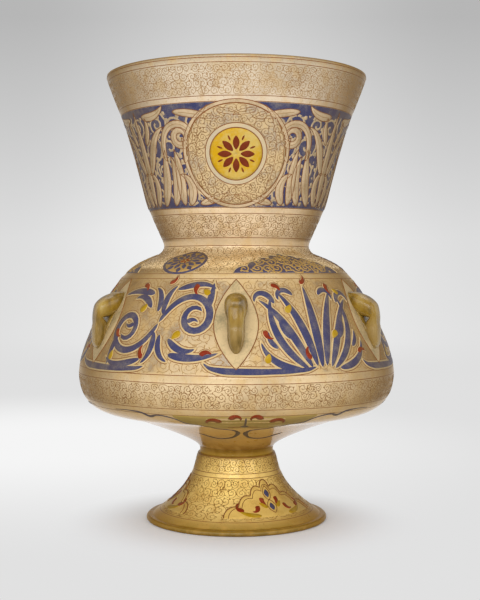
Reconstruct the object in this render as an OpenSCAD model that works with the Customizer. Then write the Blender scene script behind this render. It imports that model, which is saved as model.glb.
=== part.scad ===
// Enamelled glass mosque lamp: a blown bowl with a flared neck on an applied pedestal foot,
// six applied loop handles to hang it by, and a loose oil cup with its wick standing inside.
// Millimetres, +Z up, origin at the centre of the ring that the foot stands on.
// The front of the lamp, with one handle square on, faces -Y.

/* [Foot] */
// Height of the pedestal foot
foot_h = 54; // [45:0.5:62]
// Outside diameter of the ring that the foot stands on
foot_base_d = 146.5; // [130:0.5:160]
// Outside diameter of the foot's top edge
foot_top_d = 62.5; // [56:0.5:68]
// Thickness of the foot's wall
foot_wall = 3.6; // [2.5:0.1:4.5]
// Height of the rolled lip round the foot's base
foot_lip_h = 4; // [3:0.1:6]
// Width of the flat that the lip stands on
foot_flat_w = 3; // [2:0.1:4]

/* [Joint wad] */
// Thickness of the wad of glass that joins the foot to the bowl
wad_h = 5; // [3:0.5:8]
// How far the wad's side is drawn in at its middle
wad_draw = 0.5; // [0:0.1:1]

/* [Bowl] */
// Height of the bowl from its base to the waist
bowl_h = 162.5; // [150:0.5:175]
// Outside diameter of the bowl's base
bowl_base_d = 60.4; // [55:0.2:66]
// Thickness of the bowl's floor
floor_t = 4.5; // [3:0.1:6]
// Thickness of the glass wall of the bowl and the neck
wall = 3.2; // [2.4:0.1:4]
// Outside diameter where the underside begins to turn up
turn_d = 182; // [170:0.5:195]
// Height of that turn above the bowl's base
turn_h = 26.5; // [21:0.5:32]
// Outside diameter of the belly, the widest place
belly_d = 255; // [240:0.5:270]
// Height of the belly above the bowl's base
belly_h = 62; // [55:0.5:69]
// Outside diameter where the shoulder begins
shoulder_d = 170; // [160:0.5:180]
// Height of the shoulder above the bowl's base
shoulder_h = 144.5; // [139:0.5:148]
// Outside diameter of the waist between the bowl and the neck
waist_d = 118; // [110:0.5:126]

/* [Neck] */
// Height of the flared neck from the waist to the top of the rim
neck_h = 137.5; // [120:0.5:155]
// Outside diameter where the throat opens into the flare
throat_d = 147; // [138:0.5:156]
// Height of that place above the waist
throat_h = 36; // [30:0.5:42]
// Outside diameter of the mouth
rim_d = 211; // [195:0.5:225]

/* [Handles] */
// Height of the eye's centre above the bowl's base
eye_h = 107; // [99:0.5:113]
// Diameter of the round eye that a hook passes through
eye_d = 6.4; // [5:0.2:8]
// Length of the eye, across the strap of glass
strap_w = 8.6; // [7:0.2:11]
// Thickness of the strap outside the eye
strap_t = 5.2; // [4:0.1:6.5]
// Thickness of the glass between the eye and the bowl's wall
eye_back_t = 1; // [0.8:0.1:2]
// Diameter of the lobe where the strap starts from the wall
lobe_d = 17; // [14:0.2:19]
// Height of the lobe above the eye
lobe_rise = 11; // [9:0.5:14]
// Diameter of the shoulder where the strap turns down
shoulder_ball_d = 12.6; // [10:0.2:14]
// Height of the shoulder above the eye
shoulder_rise = 3.5; // [2:0.5:6]
// Diameter of the heel where the strap is pressed back on the wall
heel_d = 12.4; // [10:0.2:14]
// Depth of the heel below the eye
heel_drop = 13.5; // [11:0.5:16]
// Diameter of the trailed tip under the heel
tip_d = 5.6; // [4:0.2:7]
// Depth of the trailed tip below the eye
tip_drop = 21.5; // [19:0.5:25]

/* [Oil cup] */
// Height of the glass cup that holds the oil
cup_h = 73; // [60:1:85]
// Outside diameter of the cup's foot
cup_base_d = 40; // [34:0.5:44]
// Outside diameter of the cup's mouth
cup_rim_d = 66; // [58:0.5:72]
// Thickness of the cup's wall
cup_wall = 2; // [1.5:0.1:2.6]
// Thickness of the cup's floor
cup_floor_t = 3; // [2:0.1:5]

/* [Wick and its holder] */
// Number of arms that hook over the cup's rim
arm_count = 3; // [3:1:4]
// Width of an arm
arm_w = 4; // [3:0.2:6]
// Thickness of the sheet that the holder is cut from
sheet_t = 0.9; // [0.6:0.1:1.2]
// Depth of the hook outside the cup's rim
hook_drop = 8; // [5:0.5:11]
// Play between a hook and the cup's rim
hook_play = 0.4; // [0.2:0.1:0.8]
// Diameter of the hub that carries the tube
hub_d = 13; // [10:0.5:16]
// Outside diameter of the wick tube
tube_d = 5; // [4.4:0.1:6]
// Thickness of the tube's wall
tube_wall = 0.8; // [0.5:0.05:1]
// Length of the tube below its flange
tube_len = 26; // [18:1:32]
// Diameter of the tube's flange
flange_d = 8.4; // [7:0.2:9.6]
// Thickness of the tube's flange
flange_t = 0.9; // [0.6:0.1:1.4]
// Play round the wick in its tube
wick_play = 0.08; // [0.02:0.02:0.2]
// Length of wick standing above the tube
wick_top = 5; // [3:0.5:8]
// Length of wick hanging below the tube
wick_tail = 14; // [8:1:20]

/* [Hidden] */
HANDLES = ["handle_front", "handle_front_right", "handle_back_right",
           "handle_back", "handle_back_left", "handle_front_left"];
$fn = 96;

// Directions that the lamp's outline runs in at its marked places, in degrees from outward
base_dir = 70;
turn_dir = 13;
upright = 90;
shoulder_dir = 142;
throat_dir = 76;
rim_dir = 71;
foot_base_dir = 148;
foot_top_dir = 113;
cup_base_dir = 97;
cup_rim_dir = 66;

// Fullness of each curve at its two ends, as a share of the straight distance
underside_full = [0.12, 0.1];
belly_full = [0.2, 0.65];
side_full = [0.15, 0.3];
shoulder_full = [0.55, 0.3];
throat_full = [0.1, 0.25];
flare_full = [0.7, 0.35];
foot_full = [0.7, 0.15];
cup_full = [0.45, 0.3];

// Straight steps along one curve and along a rounded edge
curve_steps = 14;
lip_steps = 8;
// Directions between which the roll of the foot's lip is round
foot_lip_from = -45;
foot_lip_to = 130;
// Share by which a cone between two balls is slimmer than the one that touches both
link_slack = 0.97;
// How much the disc round an eye is thicker at its middle than the eye is long
ring_crown = 1.12;
// Shares of that disc's radius that is flat and of its thickness that is left at its edge
ring_flat = 0.62;
ring_edge = 0.4;
// Air under a part that rests on a rounded rim
seat_gap = 0.2;
// Width of the flat worked round the mouth of each eye
eye_land = 1;
// Overlap of a cutting shape past what it cuts
past = 1;

glass = [0.80, 0.70, 0.52];
gilt_glass = [0.78, 0.66, 0.40];
amber_glass = [0.58, 0.50, 0.24];
clear_glass = [0.86, 0.85, 0.76];
bronze = [0.55, 0.38, 0.20];
cotton = [0.90, 0.87, 0.78];

// Heights of the lamp's marked places
bowl_z = foot_h + wad_h;
floor_z = bowl_z + floor_t;
waist_z = bowl_z + bowl_h;
rim_z = waist_z + neck_h;
eye_z = bowl_z + eye_h;
eye_r = eye_d / 2;
cup_rim_z = floor_z + cup_h;
arm_z = cup_rim_z + seat_gap;
hub_top_z = arm_z + sheet_t;
tube_low_z = hub_top_z - tube_len;
bore_r = tube_d / 2 - tube_wall;

function heading(a) = [cos(a), sin(a)];

// A cubic curve from p to q that leaves in direction a and arrives in direction b
function curve(p, a, q, b, full) =
    let (reach = norm(q - p))
    [p, p + heading(a) * reach * full[0], q - heading(b) * reach * full[1], q];

function on_curve(c, t) =
    let (u = 1 - t)
    u * u * u * c[0] + 3 * u * u * t * c[1] + 3 * u * t * t * c[2] + t * t * t * c[3];

function along_curve(c, t) =
    let (u = 1 - t)
    u * u * (c[1] - c[0]) + 2 * u * t * (c[2] - c[1]) + t * t * (c[3] - c[2]);

// Points along a row of joined curves, moved towards the axis by inset
function outline(curves, inset = 0) = [
    for (k = [0:len(curves) - 1], i = [(k == 0 ? 0 : 1):curve_steps])
        let (t = i / curve_steps, way = along_curve(curves[k], t), unit = way / norm(way))
        on_curve(curves[k], t) + inset * [-unit[1], unit[0]]
];

// Half-round edge from the end of an outside outline over to the end of the inside one
function lip(centre, r, direction) = [
    for (i = [1:lip_steps - 1])
        centre + r * heading(direction - 90 + 180 * i / lip_steps)
];

// Round edge with its centre, radius and first and last direction
function edge(centre, r, from, to) = [
    for (i = [0:lip_steps]) centre + r * heading(from + (to - from) * i / lip_steps)
];

function reversed(points) = [for (i = [len(points) - 1:-1:0]) points[i]];

// Radius of an outline at a height, read between its points
function radius_at(points, z) = lookup(z, [for (p = points) [p[1], p[0]]]);

// Where a wall's outside outline ends, so that its half-round lip reaches top_z and out to r
function lip_start(r, top_z, t, direction) =
    [r - t / 2 * (1 - sin(direction)), top_z - t / 2 * (1 + cos(direction))];

vessel_marks = [
    [bowl_base_d / 2, bowl_z],
    [turn_d / 2, bowl_z + turn_h],
    [belly_d / 2, bowl_z + belly_h],
    [shoulder_d / 2, bowl_z + shoulder_h],
    [waist_d / 2, waist_z],
    [throat_d / 2, waist_z + throat_h],
    lip_start(rim_d / 2, rim_z, wall, rim_dir)
];
vessel_dirs = [base_dir, turn_dir, upright, shoulder_dir, upright, throat_dir, rim_dir];
vessel_full = [underside_full, belly_full, side_full, shoulder_full, throat_full, flare_full];
vessel_curves = [
    for (k = [0:len(vessel_full) - 1])
        curve(vessel_marks[k], vessel_dirs[k], vessel_marks[k + 1], vessel_dirs[k + 1], vessel_full[k])
];
vessel_outside = outline(vessel_curves);
vessel_inside = outline(vessel_curves, wall);

// The wall of a round vessel with a flat floor and a half-round lip
module vessel(outside, inside, floor_at, t, rim_direction) {
    last = outside[len(outside) - 1];
    lip_centre = (last + inside[len(inside) - 1]) / 2;
    wet = [for (p = inside) if (p[1] > floor_at) p];
    rotate_extrude()
        polygon(concat(
            [[0, outside[0][1]]],
            outside,
            lip(lip_centre, t / 2, rim_direction),
            reversed(wet),
            [[radius_at(inside, floor_at), floor_at], [0, floor_at]]
        ));
}

module lamp_body() {
    color(glass)
        vessel(vessel_outside, vessel_inside, floor_z, wall, rim_dir);
}

// The bowl and neck as if they were solid glass, for cutting what is applied to them
module vessel_solid() {
    last = vessel_outside[len(vessel_outside) - 1];
    rotate_extrude()
        polygon(concat([[0, bowl_z]], vessel_outside, [[0, last[1]]]));
}

module joint_wad() {
    r = bowl_base_d / 2;
    color(gilt_glass)
        rotate_extrude()
            polygon(concat(
                [[0, foot_h]],
                [
                    for (i = [0:lip_steps])
                        let (s = 2 * i / lip_steps - 1)
                        [r - wad_draw * (1 - s * s), foot_h + wad_h * i / lip_steps]
                ],
                [[0, foot_h + wad_h]]
            ));
}

// A flared tube with a rolled lip round its base
module foot() {
    lip_r = foot_lip_h / 2;
    roll = [foot_base_d / 2 - lip_r, lip_r];
    lip_end = edge(roll, lip_r, foot_lip_from, foot_lip_to);
    start = lip_end[len(lip_end) - 1];
    flare = [curve(start, foot_base_dir, [foot_top_d / 2, foot_h], foot_top_dir, foot_full)];
    outside = outline(flare);
    lining = outline(flare, foot_wall);
    inside = [for (p = lining) if (p[1] > foot_wall && p[1] < foot_h - foot_wall) p];
    color(gilt_glass)
        rotate_extrude()
            polygon(concat(
                [[roll[0] - foot_flat_w, 0], [roll[0], 0]],
                lip_end,
                [for (i = [1:len(outside) - 1]) outside[i]],
                [[radius_at(lining, foot_h - foot_wall), foot_h]],
                reversed(inside)
            ));
}

// Balls along a row of points in the plane of the lamp's axis, with a cone between each two
module drawn_strand(points, radii) {
    last = len(points) - 1;
    for (i = [0:last])
        translate([points[i][0], 0, points[i][1]]) sphere(r = radii[i]);
    for (i = [0:last - 1]) {
        way = points[i + 1] - points[i];
        taper = asin((radii[i] - radii[i + 1]) / norm(way));
        translate([points[i][0], 0, points[i][1]])
            rotate([0, atan2(way[0], way[1]), 0])
                translate([0, 0, radii[i] * sin(taper)])
                    cylinder(h = norm(way) - (radii[i] - radii[i + 1]) * sin(taper),
                             r1 = radii[i] * cos(taper) * link_slack,
                             r2 = radii[i + 1] * cos(taper) * link_slack);
    }
}

function on_wall(z) = [radius_at(vessel_outside, z), z];

// The eye's centre, out from the wall by the glass behind it and its own radius
wall_lean = (on_wall(eye_z + eye_r)[0] - on_wall(eye_z - eye_r)[0]) / eye_d;
eye_out = on_wall(eye_z)[0] + (eye_r + eye_back_t) * sqrt(1 + wall_lean * wall_lean);
ring_r = eye_r + strap_t;
strap_out = eye_out + ring_r;

// A loop of drawn glass on the wall: lobe, shoulder, strap, heel and tip round a closed ring
module loop_handle() {
    strap_r = strap_w / 2;
    radii = [lobe_d / 2, shoulder_ball_d / 2, strap_r, heel_d / 2, tip_d / 2];
    points = [
        on_wall(eye_z + lobe_rise),
        [strap_out - radii[1], eye_z + shoulder_rise],
        [strap_out - strap_r, eye_z - eye_r],
        on_wall(eye_z - heel_drop),
        on_wall(eye_z - tip_drop)
    ];
    difference() {
        union() {
            drawn_strand(points, radii);
            eye_ring();
        }
        eye_cut();
        vessel_solid();
    }
}

// A disc of glass that the eye goes through, worked thinner towards its edge
module eye_ring() {
    half_w = strap_w / 2 * ring_crown;
    flat_r = ring_r * ring_flat;
    edge_w = half_w * ring_edge;
    translate([eye_out, 0, eye_z])
        rotate([90, 0, 0])
            rotate_extrude()
                polygon([
                    [0, -half_w],
                    [flat_r, -half_w],
                    [ring_r, -edge_w],
                    [ring_r, edge_w],
                    [flat_r, half_w],
                    [0, half_w]
                ]);
}

// The round eye, with a flat worked square round each of its mouths
module eye_cut() {
    translate([eye_out, 0, eye_z])
        rotate([90, 0, 0]) {
            cylinder(r = eye_r, h = lobe_d + 2 * past, center = true);
            for (side = [-1, 1])
                translate([0, 0, side * (strap_w + lobe_d) / 2])
                    cylinder(r = eye_r + eye_land, h = lobe_d, center = true);
        }
}

// The handle of a name, turned to its place round the lamp
module handle(name) {
    place = search([name], HANDLES)[0];
    color(amber_glass)
        rotate([0, 0, -upright + 360 * place / len(HANDLES)])
            loop_handle();
}

cup_curve = [
    curve([cup_base_d / 2, floor_z], cup_base_dir,
          lip_start(cup_rim_d / 2, cup_rim_z, cup_wall, cup_rim_dir), cup_rim_dir, cup_full)
];

module oil_cup() {
    color(clear_glass)
        vessel(outline(cup_curve), outline(cup_curve, cup_wall),
               floor_z + cup_floor_t, cup_wall, cup_rim_dir);
}

// Strips cut with the hub from one sheet, their ends bent down over the cup's rim
module wick_holder() {
    hook_in = cup_rim_d / 2 + hook_play;
    color(bronze)
        difference() {
            union() {
                translate([0, 0, arm_z]) cylinder(d = hub_d, h = sheet_t);
                for (k = [0:arm_count - 1])
                    rotate([0, 0, upright + 360 * k / arm_count]) {
                        translate([0, -arm_w / 2, arm_z]) cube([hook_in, arm_w, sheet_t]);
                        translate([hook_in, -arm_w / 2, arm_z])
                            rotate([-90, 0, 0]) cylinder(r = sheet_t, h = arm_w);
                        translate([hook_in, -arm_w / 2, arm_z - hook_drop])
                            cube([sheet_t, arm_w, hook_drop]);
                    }
            }
            translate([0, 0, arm_z - past]) cylinder(d = tube_d, h = sheet_t + 2 * past);
            translate([0, 0, arm_z - hook_drop - past])
                cylinder(r = hook_in, h = hook_drop + past);
        }
}

module wick_tube() {
    color(bronze)
        difference() {
            union() {
                translate([0, 0, tube_low_z]) cylinder(d = tube_d, h = tube_len);
                translate([0, 0, hub_top_z]) cylinder(d = flange_d, h = flange_t);
            }
            translate([0, 0, tube_low_z - past])
                cylinder(r = bore_r, h = tube_len + flange_t + 2 * past);
        }
}

module wick() {
    color(cotton)
        translate([0, 0, tube_low_z - wick_tail])
            cylinder(r = bore_r - wick_play, h = wick_tail + tube_len + flange_t + wick_top);
}

lamp_body();
joint_wad();
foot();
for (name = HANDLES)
    handle(name);
oil_cup();
wick_holder();
wick_tube();
wick();
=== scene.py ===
"""Looks of an enamelled and gilded glass mosque lamp, dressed round its solids.

Fields of the classes are in millimetres and degrees, and meshes are in metres.
Angles round the lamp start at its front, which faces -Y, and grow towards +X.
A place on a round wall is an angle and a distance s along the wall's outline.
"""
import logging
import math
from dataclasses import dataclass
from enum import Enum
from typing import Optional, Sequence, Union

import bpy
import numpy as np
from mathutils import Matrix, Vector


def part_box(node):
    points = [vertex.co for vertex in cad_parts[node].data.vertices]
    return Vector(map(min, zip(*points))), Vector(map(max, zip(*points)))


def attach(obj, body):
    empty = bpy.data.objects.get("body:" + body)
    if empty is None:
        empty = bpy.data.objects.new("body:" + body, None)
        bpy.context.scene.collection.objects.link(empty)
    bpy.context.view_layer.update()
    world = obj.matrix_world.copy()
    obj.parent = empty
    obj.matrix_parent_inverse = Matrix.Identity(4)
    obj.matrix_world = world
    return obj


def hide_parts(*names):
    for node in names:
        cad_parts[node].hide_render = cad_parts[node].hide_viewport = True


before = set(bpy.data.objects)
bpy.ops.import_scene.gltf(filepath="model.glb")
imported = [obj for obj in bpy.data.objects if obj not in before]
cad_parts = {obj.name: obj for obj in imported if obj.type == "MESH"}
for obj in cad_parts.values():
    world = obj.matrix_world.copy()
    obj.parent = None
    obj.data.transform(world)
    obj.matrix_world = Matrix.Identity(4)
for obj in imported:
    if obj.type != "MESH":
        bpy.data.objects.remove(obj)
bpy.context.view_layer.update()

LOG = logging.getLogger("lamp")
MM = 0.001
TURN = 2 * math.pi
TINY = 1e-9
LAMP = "lamp"
ENAMELLED = "enamelled_glass"
GILDED = "gilded_glass"
# Power of a pointed arch's fall from its tip, and how far enamel's edges sink into the wall, in millimetres.
ARCH_POWER = 1.4
SUNK = -0.06
Colour = tuple[float, float, float, float]
Bands = tuple[tuple[float, float], ...]
Place = tuple[Sequence[float], float]


def shown(red: float, green: float, blue: float) -> Colour:
    """A colour written as a display shows it, from 0 to 255, as linear light.

    Args:
        red: level of red.
        green: level of green.
        blue: level of blue.
    Returns:
        The linear colour with full opacity.
    """
    share = np.array([red, green, blue]) / 255
    light = np.where(share <= 0.04045, share / 12.92, ((share + 0.055) / 1.055) ** 2.4)
    return (*map(float, light), 1.0)


class Wire:
    """An output socket of a shader's node, with arithmetic that adds Math nodes."""

    def __init__(self, shader: "Shader", socket: bpy.types.NodeSocket) -> None:
        """Keeps the socket and the shader that it belongs to."""
        self.shader = shader
        self.socket = socket

    def _math(self, operation: str, first: "Feed", second: "Feed") -> "Wire":
        """Adds one Math node."""
        return self.shader.node("ShaderNodeMath", {"operation": operation}, {0: first, 1: second})

    def __add__(self, other: "Feed") -> "Wire":
        """Sum."""
        return self._math("ADD", self, other)

    def __sub__(self, other: "Feed") -> "Wire":
        """Difference."""
        return self._math("SUBTRACT", self, other)

    def __rsub__(self, other: "Feed") -> "Wire":
        """Difference from a number."""
        return self._math("SUBTRACT", other, self)

    def __mul__(self, other: "Feed") -> "Wire":
        """Product."""
        return self._math("MULTIPLY", self, other)

    def __pow__(self, other: "Feed") -> "Wire":
        """Power."""
        return self._math("POWER", self, other)

    __radd__ = __add__
    __rmul__ = __mul__

    def larger(self, other: "Feed") -> "Wire":
        """The larger of two values."""
        return self._math("MAXIMUM", self, other)

    def between(self, low: float, high: float) -> "Wire":
        """Rises smoothly from 0 at low to 1 at high."""
        inputs = {"Value": self, "From Min": low, "From Max": high}
        return self.shader.node("ShaderNodeMapRange", {"interpolation_type": "SMOOTHSTEP"}, inputs)


Feed = Union[Wire, float, Sequence[float]]


class Shader:
    """The nodes of a material or a world under construction."""

    def __init__(self, owner: Union[bpy.types.Material, bpy.types.World]) -> None:
        """Starts an empty node tree in the material or world.

        Args:
            owner: the material or world.
        """
        owner.use_nodes = True
        self.owner = owner
        self.tree = owner.node_tree
        self.tree.nodes.clear()

    def node(self, kind: str, settings: Optional[dict] = None, inputs: Optional[dict] = None,
             output: Union[int, str] = 0) -> Wire:
        """Adds a node of any kind.

        Args:
            kind: the node's type.
            settings: its properties, set first; "stops" are a ramp's places and colours.
            inputs: values or wires for its sockets, by name or place.
            output: the socket that is returned.
        Returns:
            The wire of that output.
        """
        made = self.tree.nodes.new(kind)
        for name, value in (settings or {}).items():
            if name == "stops":
                self._set_stops(made.color_ramp, value)
            else:
                setattr(made, name, value)
        for key, value in (inputs or {}).items():
            if isinstance(value, Wire):
                self.tree.links.new(value.socket, made.inputs[key])
            else:
                made.inputs[key].default_value = value
        return Wire(self, made.outputs[output])

    @staticmethod
    def _set_stops(ramp: bpy.types.ColorRamp, stops: Sequence[tuple[float, Colour]]) -> None:
        """Puts the stops of a colour ramp in place of its own two.

        Args:
            ramp: the node's ramp.
            stops: places and colours, in order.
        """
        while len(ramp.elements) < len(stops):
            ramp.elements.new(1.0)
        for element, (place, colour) in zip(ramp.elements, stops):
            element.position = place
            element.color = colour

    def place(self) -> Wire:
        """The point of the surface, in the lamp's own frame."""
        return self.node("ShaderNodeTexCoord", output="Object")

    def height(self) -> Wire:
        """The height of the surface's point."""
        return self.node("ShaderNodeSeparateXYZ", inputs={0: self.place()}, output="Z")

    def noise(self, scale: float, detail: float = 3.0, stretch: Sequence[float] = (1, 1, 1)) -> Wire:
        """Cloudy noise from 0 to 1.

        Args:
            scale: clouds to a metre.
            detail: octaves of finer clouds.
            stretch: factor on each axis, below 1 for streaks along it.
        Returns:
            The noise's value.
        """
        where = self.node(
            "ShaderNodeMapping", {"vector_type": "POINT"}, {"Vector": self.place(), "Scale": stretch}
        )
        return self.node("ShaderNodeTexNoise", inputs={"Vector": where, "Scale": scale, "Detail": detail})

    def ramp(self, value: Wire, stops: Sequence[tuple[float, Colour]]) -> Wire:
        """Colours along a value."""
        return self.node("ShaderNodeValToRGB", {"stops": stops}, {0: value})

    def mix(self, share: Feed, first: Feed, second: Feed) -> Wire:
        """A colour between two."""
        return self.node("ShaderNodeMix", {"data_type": "RGBA"}, {0: share, 6: first, 7: second}, output=2)

    def distance(self, point: Sequence[float]) -> Wire:
        """How far the surface is from a point."""
        inputs = {0: self.place(), 1: point}
        return self.node("ShaderNodeVectorMath", {"operation": "DISTANCE"}, inputs, output="Value")

    def facing(self, blend: float = 0.5) -> Wire:
        """How far the surface turns away from the line of sight, from 0 to 1."""
        return self.node("ShaderNodeLayerWeight", inputs={"Blend": blend}, output="Facing")

    def edge_on(self) -> Wire:
        """Share of painted shade that darkens a colour towards the outline, a little less at its very rim.

        It partly stands for the longer path through the glass there.

        Returns:
            A share from 0 to 1.
        """
        deepens, most, rim, rim_loss = (0.03, 0.74), 0.86, (0.7, 1.0), 0.4
        facing = self.facing()
        return facing.between(*deepens) * most - facing.between(*rim) * rim_loss

    def bump(self, height: Wire, distance: float, strength: float) -> Wire:
        """Normals of a fine relief, its height in metres at full value."""
        inputs = {"Height": height, "Distance": distance, "Strength": strength}
        return self.node("ShaderNodeBump", inputs=inputs)

    def seen_ray(self) -> Wire:
        """One for rays from the camera, off gloss and through glass, and nothing for the light on things.

        Returns:
            One or nothing.
        """
        kinds = ("Is Camera Ray", "Is Glossy Ray", "Is Transmission Ray")
        camera, gloss, glass = (self.node("ShaderNodeLightPath", output=kind) for kind in kinds)
        return camera.larger(gloss).larger(glass)

    def done(self, surface: Wire) -> Union[bpy.types.Material, bpy.types.World]:
        """Links the surface to the output and returns the material or world.

        Args:
            surface: the last shader's output.
        Returns:
            The material or world.
        """
        kind = "World" if isinstance(self.owner, bpy.types.World) else "Material"
        output = self.tree.nodes.new(f"ShaderNodeOutput{kind}")
        self.tree.links.new(surface.socket, output.inputs["Surface"])
        return self.owner

    def principled(self, inputs: dict) -> bpy.types.Material:
        """Ends the material with one Principled shader."""
        return self.done(self.node("ShaderNodeBsdfPrincipled", inputs=inputs))


@dataclass(frozen=True)
class Finish:
    """A surface finish that is made once and shared."""

    name: str

    def build(self, shader: Shader) -> bpy.types.Material:
        """Makes the material's nodes."""
        raise NotImplementedError

    def material(self) -> bpy.types.Material:
        """The finish as a material, made at its first use."""
        return bpy.data.materials.get(self.name) or self.build(Shader(bpy.data.materials.new(self.name)))


@dataclass(frozen=True)
class BlownGlass(Finish):
    """Cloudy blown glass with gilding: its colour changes with height, and painted shade darkens it where it is seen
    edge on.

    Heights are in metres, and the stops are shares of the top's height. Above lit_below painted shade darkens the
    wall edge on, partly standing for the longer path through the glass, less so in the level bands. Below it, where
    the wall hangs over, its very rim gets a painted glint, a pale reflection in its colour. The glass also gives off
    a weak painted glow of its own colour, standing for light that passes through it.
    """

    stops: tuple[tuple[float, Colour], ...] = ()
    # Colour and share of the painted shade towards the outline.
    edge: Colour = shown(112, 80, 22)
    edge_share: float = 1.0
    # Strength of a painted glow: the glass gives off light of its own colour, standing for light that passes through
    # it.
    glow: float = 0.1
    smoke: Colour = shown(140, 120, 92)
    smoke_share: float = 0.5
    gilt: Colour = shown(200, 158, 84)
    gilt_share: float = 0.35
    speck: Colour = shown(120, 84, 44)
    speck_share: float = 0.4
    lustre: Bands = ()
    lustre_share: float = 0.4
    veil: Colour = shown(122, 108, 96)
    veiled: Bands = ()
    veil_share: float = 0.55
    lit_below: tuple[float, float] = (0.088, 0.106)
    # Bands where the wall lies flat, where the painted edge shade is held back by level_share.
    level: Bands = ()
    level_share: float = 0.8
    # Colour, facing band and share of a painted glint: a pale reflection at the rim under the overhang.
    glint: Colour = shown(228, 208, 192)
    glint_at: tuple[float, float] = (0.85, 0.97)
    glint_share: float = 0.0
    coat: float = 0.6
    coat_fade: tuple[float, float] = (0.1, 0.6)
    top: float = 0.36

    def build(self, shader: Shader) -> bpy.types.Material:
        """Colour by height, smoky clouds, worn gilding, specks, painted edge shade, glint and glow, and gold lustre
        in bands.

        Args:
            shader: the material's empty nodes.
        Returns:
            The material.
        """
        height = shader.height()
        body = shader.ramp(height * (1 / self.top), self.stops)
        clouds = shader.noise(26, detail=5)
        body = shader.mix(clouds.between(0.48, 0.78) * self.smoke_share, body, self.smoke)
        worn = shader.noise(130, detail=6, stretch=(1.0, 1.0, 0.7))
        body = shader.mix(worn.between(0.42, 0.68) * self.gilt_share, body, self.gilt)
        fine = shader.noise(640, detail=3)
        body = shader.mix(fine.between(0.58, 0.74) * self.speck_share, body, self.speck)
        ghosts = shader.noise(62, detail=4, stretch=(1.0, 1.0, 0.7)).between(0.5, 0.64)
        body = shader.mix(ghosts * self.within(height, self.veiled) * self.veil_share, body, self.veil)
        facing = shader.facing()
        side_on = height.between(*self.lit_below)
        # Painted shade: darkens the colour towards the outline above lit_below, less in the level bands; it partly
        # stands for the longer path through the glass.
        deep = side_on * self.edge_share - self.within(height, self.level) * self.level_share
        body = shader.mix(shader.edge_on() * deep, body, self.edge)
        # Painted glint: a pale reflection painted into the colour where the overhanging wall is seen edge on.
        pale = facing.between(*self.glint_at) * (1.0 - side_on) * self.glint_share
        body = shader.mix(pale, body, self.glint)
        gold = self.within(height, self.lustre)
        rings = shader.noise(30, detail=2, stretch=(0.25, 0.25, 2.5))
        return shader.principled({
            "Base Color": body,
            "Metallic": gold * worn.between(0.25, 0.6) * self.lustre_share,
            "Roughness": worn * 0.2 + 0.2,
            "IOR": 1.5,
            "Specular IOR Level": 0.05,
            # Painted glow: emission of the glass's own colour.
            "Emission Color": body,
            "Emission Strength": self.glow,
            "Coat Weight": (1.0 - facing.between(*self.coat_fade) * side_on) * self.coat,
            "Coat Roughness": 0.06,
            "Normal": shader.bump(fine * 0.6 + rings * 5 + worn, distance=0.00014, strength=0.4),
        })

    @staticmethod
    def within(height: Wire, bands: Bands) -> Wire:
        """One inside the bands of height and nothing outside, with soft edges.

        Args:
            height: the surface's height.
            bands: lower and upper heights.
        Returns:
            A share from 0 to 1.
        """
        blur, share = 0.0012, height * 0.0
        for low, high in bands:
            starts, ends = (height.between(at - blur, at + blur) for at in (low, high))
            share = share + (starts - ends)
        return share


@dataclass(frozen=True)
class Enamel(Finish):
    """Fired enamel or gold line: a colour that thins to a paler one, on a slightly uneven surface."""

    colour: Colour = (0.5, 0.5, 0.5, 1.0)
    thin: Colour = (0.6, 0.6, 0.6, 1.0)
    thin_share: float = 0.5
    grain: float = 160.0
    roughness: float = 0.38
    # Colour and share of painted shade towards the outline, as on the glass.
    edge: Colour = shown(102, 80, 40)
    edge_share: float = 0.65

    def build(self, shader: Shader) -> bpy.types.Material:
        """Two tones in clouds, darkened towards the outline by painted shade, with a fine pitted gloss.

        Args:
            shader: the material's empty nodes.
        Returns:
            The material.
        """
        clouds = shader.noise(self.grain, detail=5)
        fine = shader.noise(self.grain * 9, detail=2)
        share = (clouds * 0.7 + fine * 0.3).between(0.42, 0.72) * self.thin_share
        tone = shader.mix(share, self.colour, self.thin)
        return shader.principled({
            # Painted shade: the colour darkens towards the outline.
            "Base Color": shader.mix(shader.edge_on() * self.edge_share, tone, self.edge),
            "Specular IOR Level": 0.06,
            "Roughness": fine * 0.2 + (self.roughness - 0.1),
            "Normal": shader.bump(fine + clouds, distance=0.00008, strength=0.5),
        })


@dataclass(frozen=True)
class AmberGlass(Finish):
    """Thick drawn glass, olive to amber, with streaks along the draw."""

    deep: Colour = shown(84, 64, 14)
    body: Colour = shown(146, 112, 30)
    pale: Colour = shown(174, 144, 66)
    smoke: Colour = shown(158, 132, 84)
    smoky_below: tuple[float, float] = (0.154, 0.170)
    smoke_share: float = 0.6
    # Share of painted shade, in the deep tone, where the glass is seen edge on.
    deep_share: float = 0.6
    coat: float = 0.28

    def build(self, shader: Shader) -> bpy.types.Material:
        """Streaks of three tones, smoky in the lower half, darkened by painted shade where seen edge on, under a
        soft gloss.

        Args:
            shader: the material's empty nodes.
        Returns:
            The material.
        """
        streaks = shader.noise(110, detail=4, stretch=(1.0, 1.0, 0.35))
        tone = shader.ramp(streaks, ((0.3, self.deep), (0.5, self.body), (0.72, self.pale)))
        low = (1.0 - shader.height().between(*self.smoky_below)) * streaks.between(0.3, 0.6)
        tone = shader.mix(low * self.smoke_share, tone, self.smoke)
        facing = shader.facing(0.4)
        return shader.principled({
            # Painted shade: the deep tone darkens the glass towards the outline.
            "Base Color": shader.mix((facing ** 1.6) * self.deep_share, tone, self.deep),
            "Roughness": streaks * 0.2 + 0.14,
            "IOR": 1.5,
            "Specular IOR Level": 0.2,
            "Transmission Weight": 0.1,
            "Coat Weight": (1.0 - facing) * self.coat,
            "Coat Roughness": 0.15,
            "Normal": shader.bump(shader.noise(160, detail=2), distance=0.0003, strength=0.4),
        })


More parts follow.
